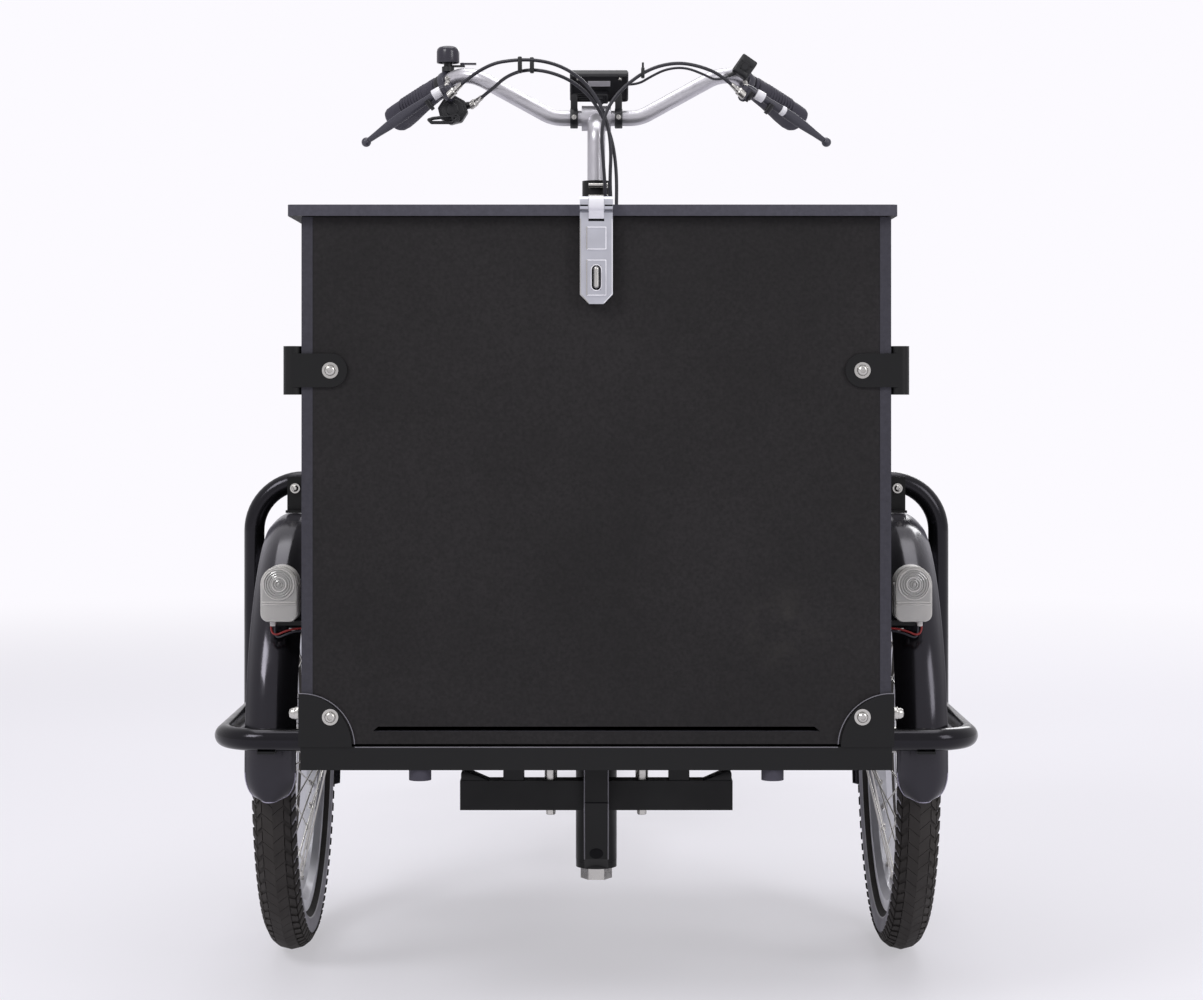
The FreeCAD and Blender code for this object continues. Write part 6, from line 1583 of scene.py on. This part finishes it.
class TricycleStage(bpy.types.PropertyGroup):
    """Studio floor, lamps and camera."""
    floor_reach: length(40000, "Floor reach", "Radius of the studio floor")
    fade_start: length(1900, "Fade start", "Distance from the tricycle at which the floor turns white")
    fade_end: length(5200, "Fade end", "Distance from the tricycle at which the floor is white")
    backdrop: colour("fcfaff", "Backdrop", "High-key white behind the tricycle")
    sky_level: bpy.props.FloatProperty(name="Sky level", description="Strength of the soft light from all round",
                                       default=0.36, min=0)
    gloss_level: bpy.props.FloatProperty(name="Gloss level", description="Strength of the backdrop in reflections",
                                         default=0.5, min=0)
    floor_lift: bpy.props.FloatProperty(name="Floor lift", description="Share of white seen in the floor's shadow",
                                        default=0.48, min=0, max=1, subtype="FACTOR")
    camera_distance: length(3878.5, "Camera distance", "Distance of the camera ahead of the origin")
    camera_height: length(687, "Camera height", "Height of the camera over the floor")


def seen_directly(tree, level=1.0):
    """1 for camera and transmitted rays, a level for glossy rays, 0 for the light that falls on the tricycle."""
    path = add(tree, "LightPath").outputs
    glossy = reckon(tree, "MULTIPLY", path["Is Glossy Ray"], level)
    first = reckon(tree, "MAXIMUM", path["Is Camera Ray"], glossy)
    return reckon(tree, "MAXIMUM", first, path["Is Transmission Ray"])


def studio_floor(look, stage):
    """Painted floor: pale and matt, and white from a few metres on, where it meets the backdrop."""
    name = "painted studio floor"
    tree, shader, place = start_finish(name, look.floor, 0.9, Specular_IOR_Level=0.1)
    away = add(tree, "VectorMath", {0: place}, operation="LENGTH")
    fade = add(tree, "MapRange", {"Value": away.outputs["Value"], "From Min": stage.fade_start,
                                  "From Max": stage.fade_end, "To Min": stage.floor_lift},
               interpolation_type="SMOOTHSTEP")
    amount = reckon(tree, "MULTIPLY", fade.outputs["Result"], seen_directly(tree))
    white = add(tree, "Emission", {"Color": opaque(stage.backdrop)})
    mix = add(tree, "MixShader", {0: amount, 1: shader.outputs[0], 2: white.outputs[0]})
    tree.links.new(mix.outputs[0], tree.nodes["Material Output"].inputs["Surface"])
    return bpy.data.materials[name]


# Softboxes: name, place, aim and size in metres, and watts
SOFTBOXES = (
    ("key softbox", (-2.6, -3.6, 3.6), (0, -0.6, 0.5), (1.6, 1.6), 84),
    ("fill softbox", (3.0, -3.4, 2.4), (0, -0.6, 0.6), (1.4, 2.0), 42),
    ("top softbox", (0, 0.2, 4.2), (0, -0.1, 0), (3.2, 3.2), 74),
    ("back softbox", (1.6, 4.2, 3.0), (0, 0.4, 0.5), (2.0, 2.0), 60),
)


def soft_lamp(name, place, aim, size, watts):
    """A softbox at a place, turned to its aim."""
    light = bpy.data.lights.new(name, "AREA")
    light.shape = "RECTANGLE"
    light.size, light.size_y = size
    light.energy = watts
    lamp = bpy.data.objects.new(name, light)
    lamp.location = place
    lamp.rotation_euler = (Vector(aim) - Vector(place)).to_track_quat("-Z", "Y").to_euler()
    bpy.context.scene.collection.objects.link(lamp)


class TRICYCLE_OT_stage(bpy.types.Operator):
    """Floor, soft lamps, backdrop and the photograph's camera"""
    bl_idname = "tricycle.stage"
    bl_label = "Stage"

    def execute(self, context):
        scene = context.scene
        stage = scene.tricycle_stage
        bm = bmesh.new()
        bmesh.ops.create_circle(bm, cap_ends=True, segments=96, radius=stage.floor_reach)
        mesh = bpy.data.meshes.new("studio_floor")
        bm.to_mesh(mesh)
        bm.free()
        mesh.materials.append(studio_floor(scene.tricycle_finishes, stage))
        floor = bpy.data.objects.new("studio_floor", mesh)
        scene.collection.objects.link(floor)

        world = bpy.data.worlds.new("studio backdrop")
        world.use_nodes = True
        tree = world.node_tree
        sky = tree.nodes["Background"]
        sky.inputs["Color"].default_value = opaque(stage.backdrop)
        level = add(tree, "MapRange", {"Value": seen_directly(tree, stage.gloss_level), "To Min": stage.sky_level})
        tree.links.new(level.outputs["Result"], sky.inputs["Strength"])
        scene.world = world

        for softbox in SOFTBOXES:
            soft_lamp(*softbox)

        view = bpy.data.cameras.new("photo camera")
        view.sensor_width = SENSOR_WIDTH
        view.lens = SENSOR_WIDTH * PHOTO_FOCAL / PHOTO_WIDTH
        view.shift_x = PHOTO_SHIFT_X
        view.shift_y = PHOTO_SHIFT_Y
        camera = bpy.data.objects.new("photo camera", view)
        camera.location = (0, -stage.camera_distance, stage.camera_height)
        camera.rotation_euler = (math.pi / 2, 0, 0)
        scene.collection.objects.link(camera)
        scene.camera = camera
        scene.view_settings.view_transform = "Standard"
        return {"FINISHED"}


class TRICYCLE_PT_dresser(bpy.types.Panel):
    """The dresser's operators, in the order in which they run"""
    bl_idname = "TRICYCLE_PT_dresser"
    bl_label = "Cargo Tricycle"
    bl_space_type = "VIEW_3D"
    bl_region_type = "UI"
    bl_category = "Tricycle"

    def draw(self, context):
        for operator in OPERATORS:
            self.layout.operator(operator.bl_idname)
        for group, kind in GROUPS.items():
            for name in kind.__annotations__:
                self.layout.prop(getattr(context.scene, group), name)


GROUPS = {
    "tricycle_finishes": TricycleFinishes,
    "tricycle_sizes": TricycleSizes,
    "tricycle_stage": TricycleStage,
}
OPERATORS = (TRICYCLE_OT_finishes, TRICYCLE_OT_tyres, TRICYCLE_OT_wheel_fittings, TRICYCLE_OT_headlights,
             TRICYCLE_OT_hasp, TRICYCLE_OT_fasteners, TRICYCLE_OT_grips, TRICYCLE_OT_levers,
             TRICYCLE_OT_bar_fittings, TRICYCLE_OT_display, TRICYCLE_OT_cables, TRICYCLE_OT_bar_clamps,
             TRICYCLE_OT_mudguards, TRICYCLE_OT_lamp_leads, TRICYCLE_OT_plate_edges, TRICYCLE_OT_strut,
             TRICYCLE_OT_saddle, TRICYCLE_OT_chain, TRICYCLE_OT_pedals, TRICYCLE_OT_drive_unit, TRICYCLE_OT_stage)


def register():
    """Registers the property groups, the operators and the panel."""
    for group in GROUPS.values():
        bpy.utils.register_class(group)
    for name, group in GROUPS.items():
        setattr(bpy.types.Scene, name, bpy.props.PointerProperty(type=group))
    for operator in OPERATORS:
        bpy.utils.register_class(operator)
    bpy.utils.register_class(TRICYCLE_PT_dresser)


def unregister():
    """Takes back what register() did."""
    bpy.utils.unregister_class(TRICYCLE_PT_dresser)
    for operator in reversed(OPERATORS):
        bpy.utils.unregister_class(operator)
    for name, group in GROUPS.items():
        delattr(bpy.types.Scene, name)
        bpy.utils.unregister_class(group)


def main():
    """Dresses the frame, operator by operator."""
    register()
    for operator in OPERATORS:
        getattr(bpy.ops.tricycle, operator.bl_idname.split(".")[1])()


if __name__ == "__main__":
    main()
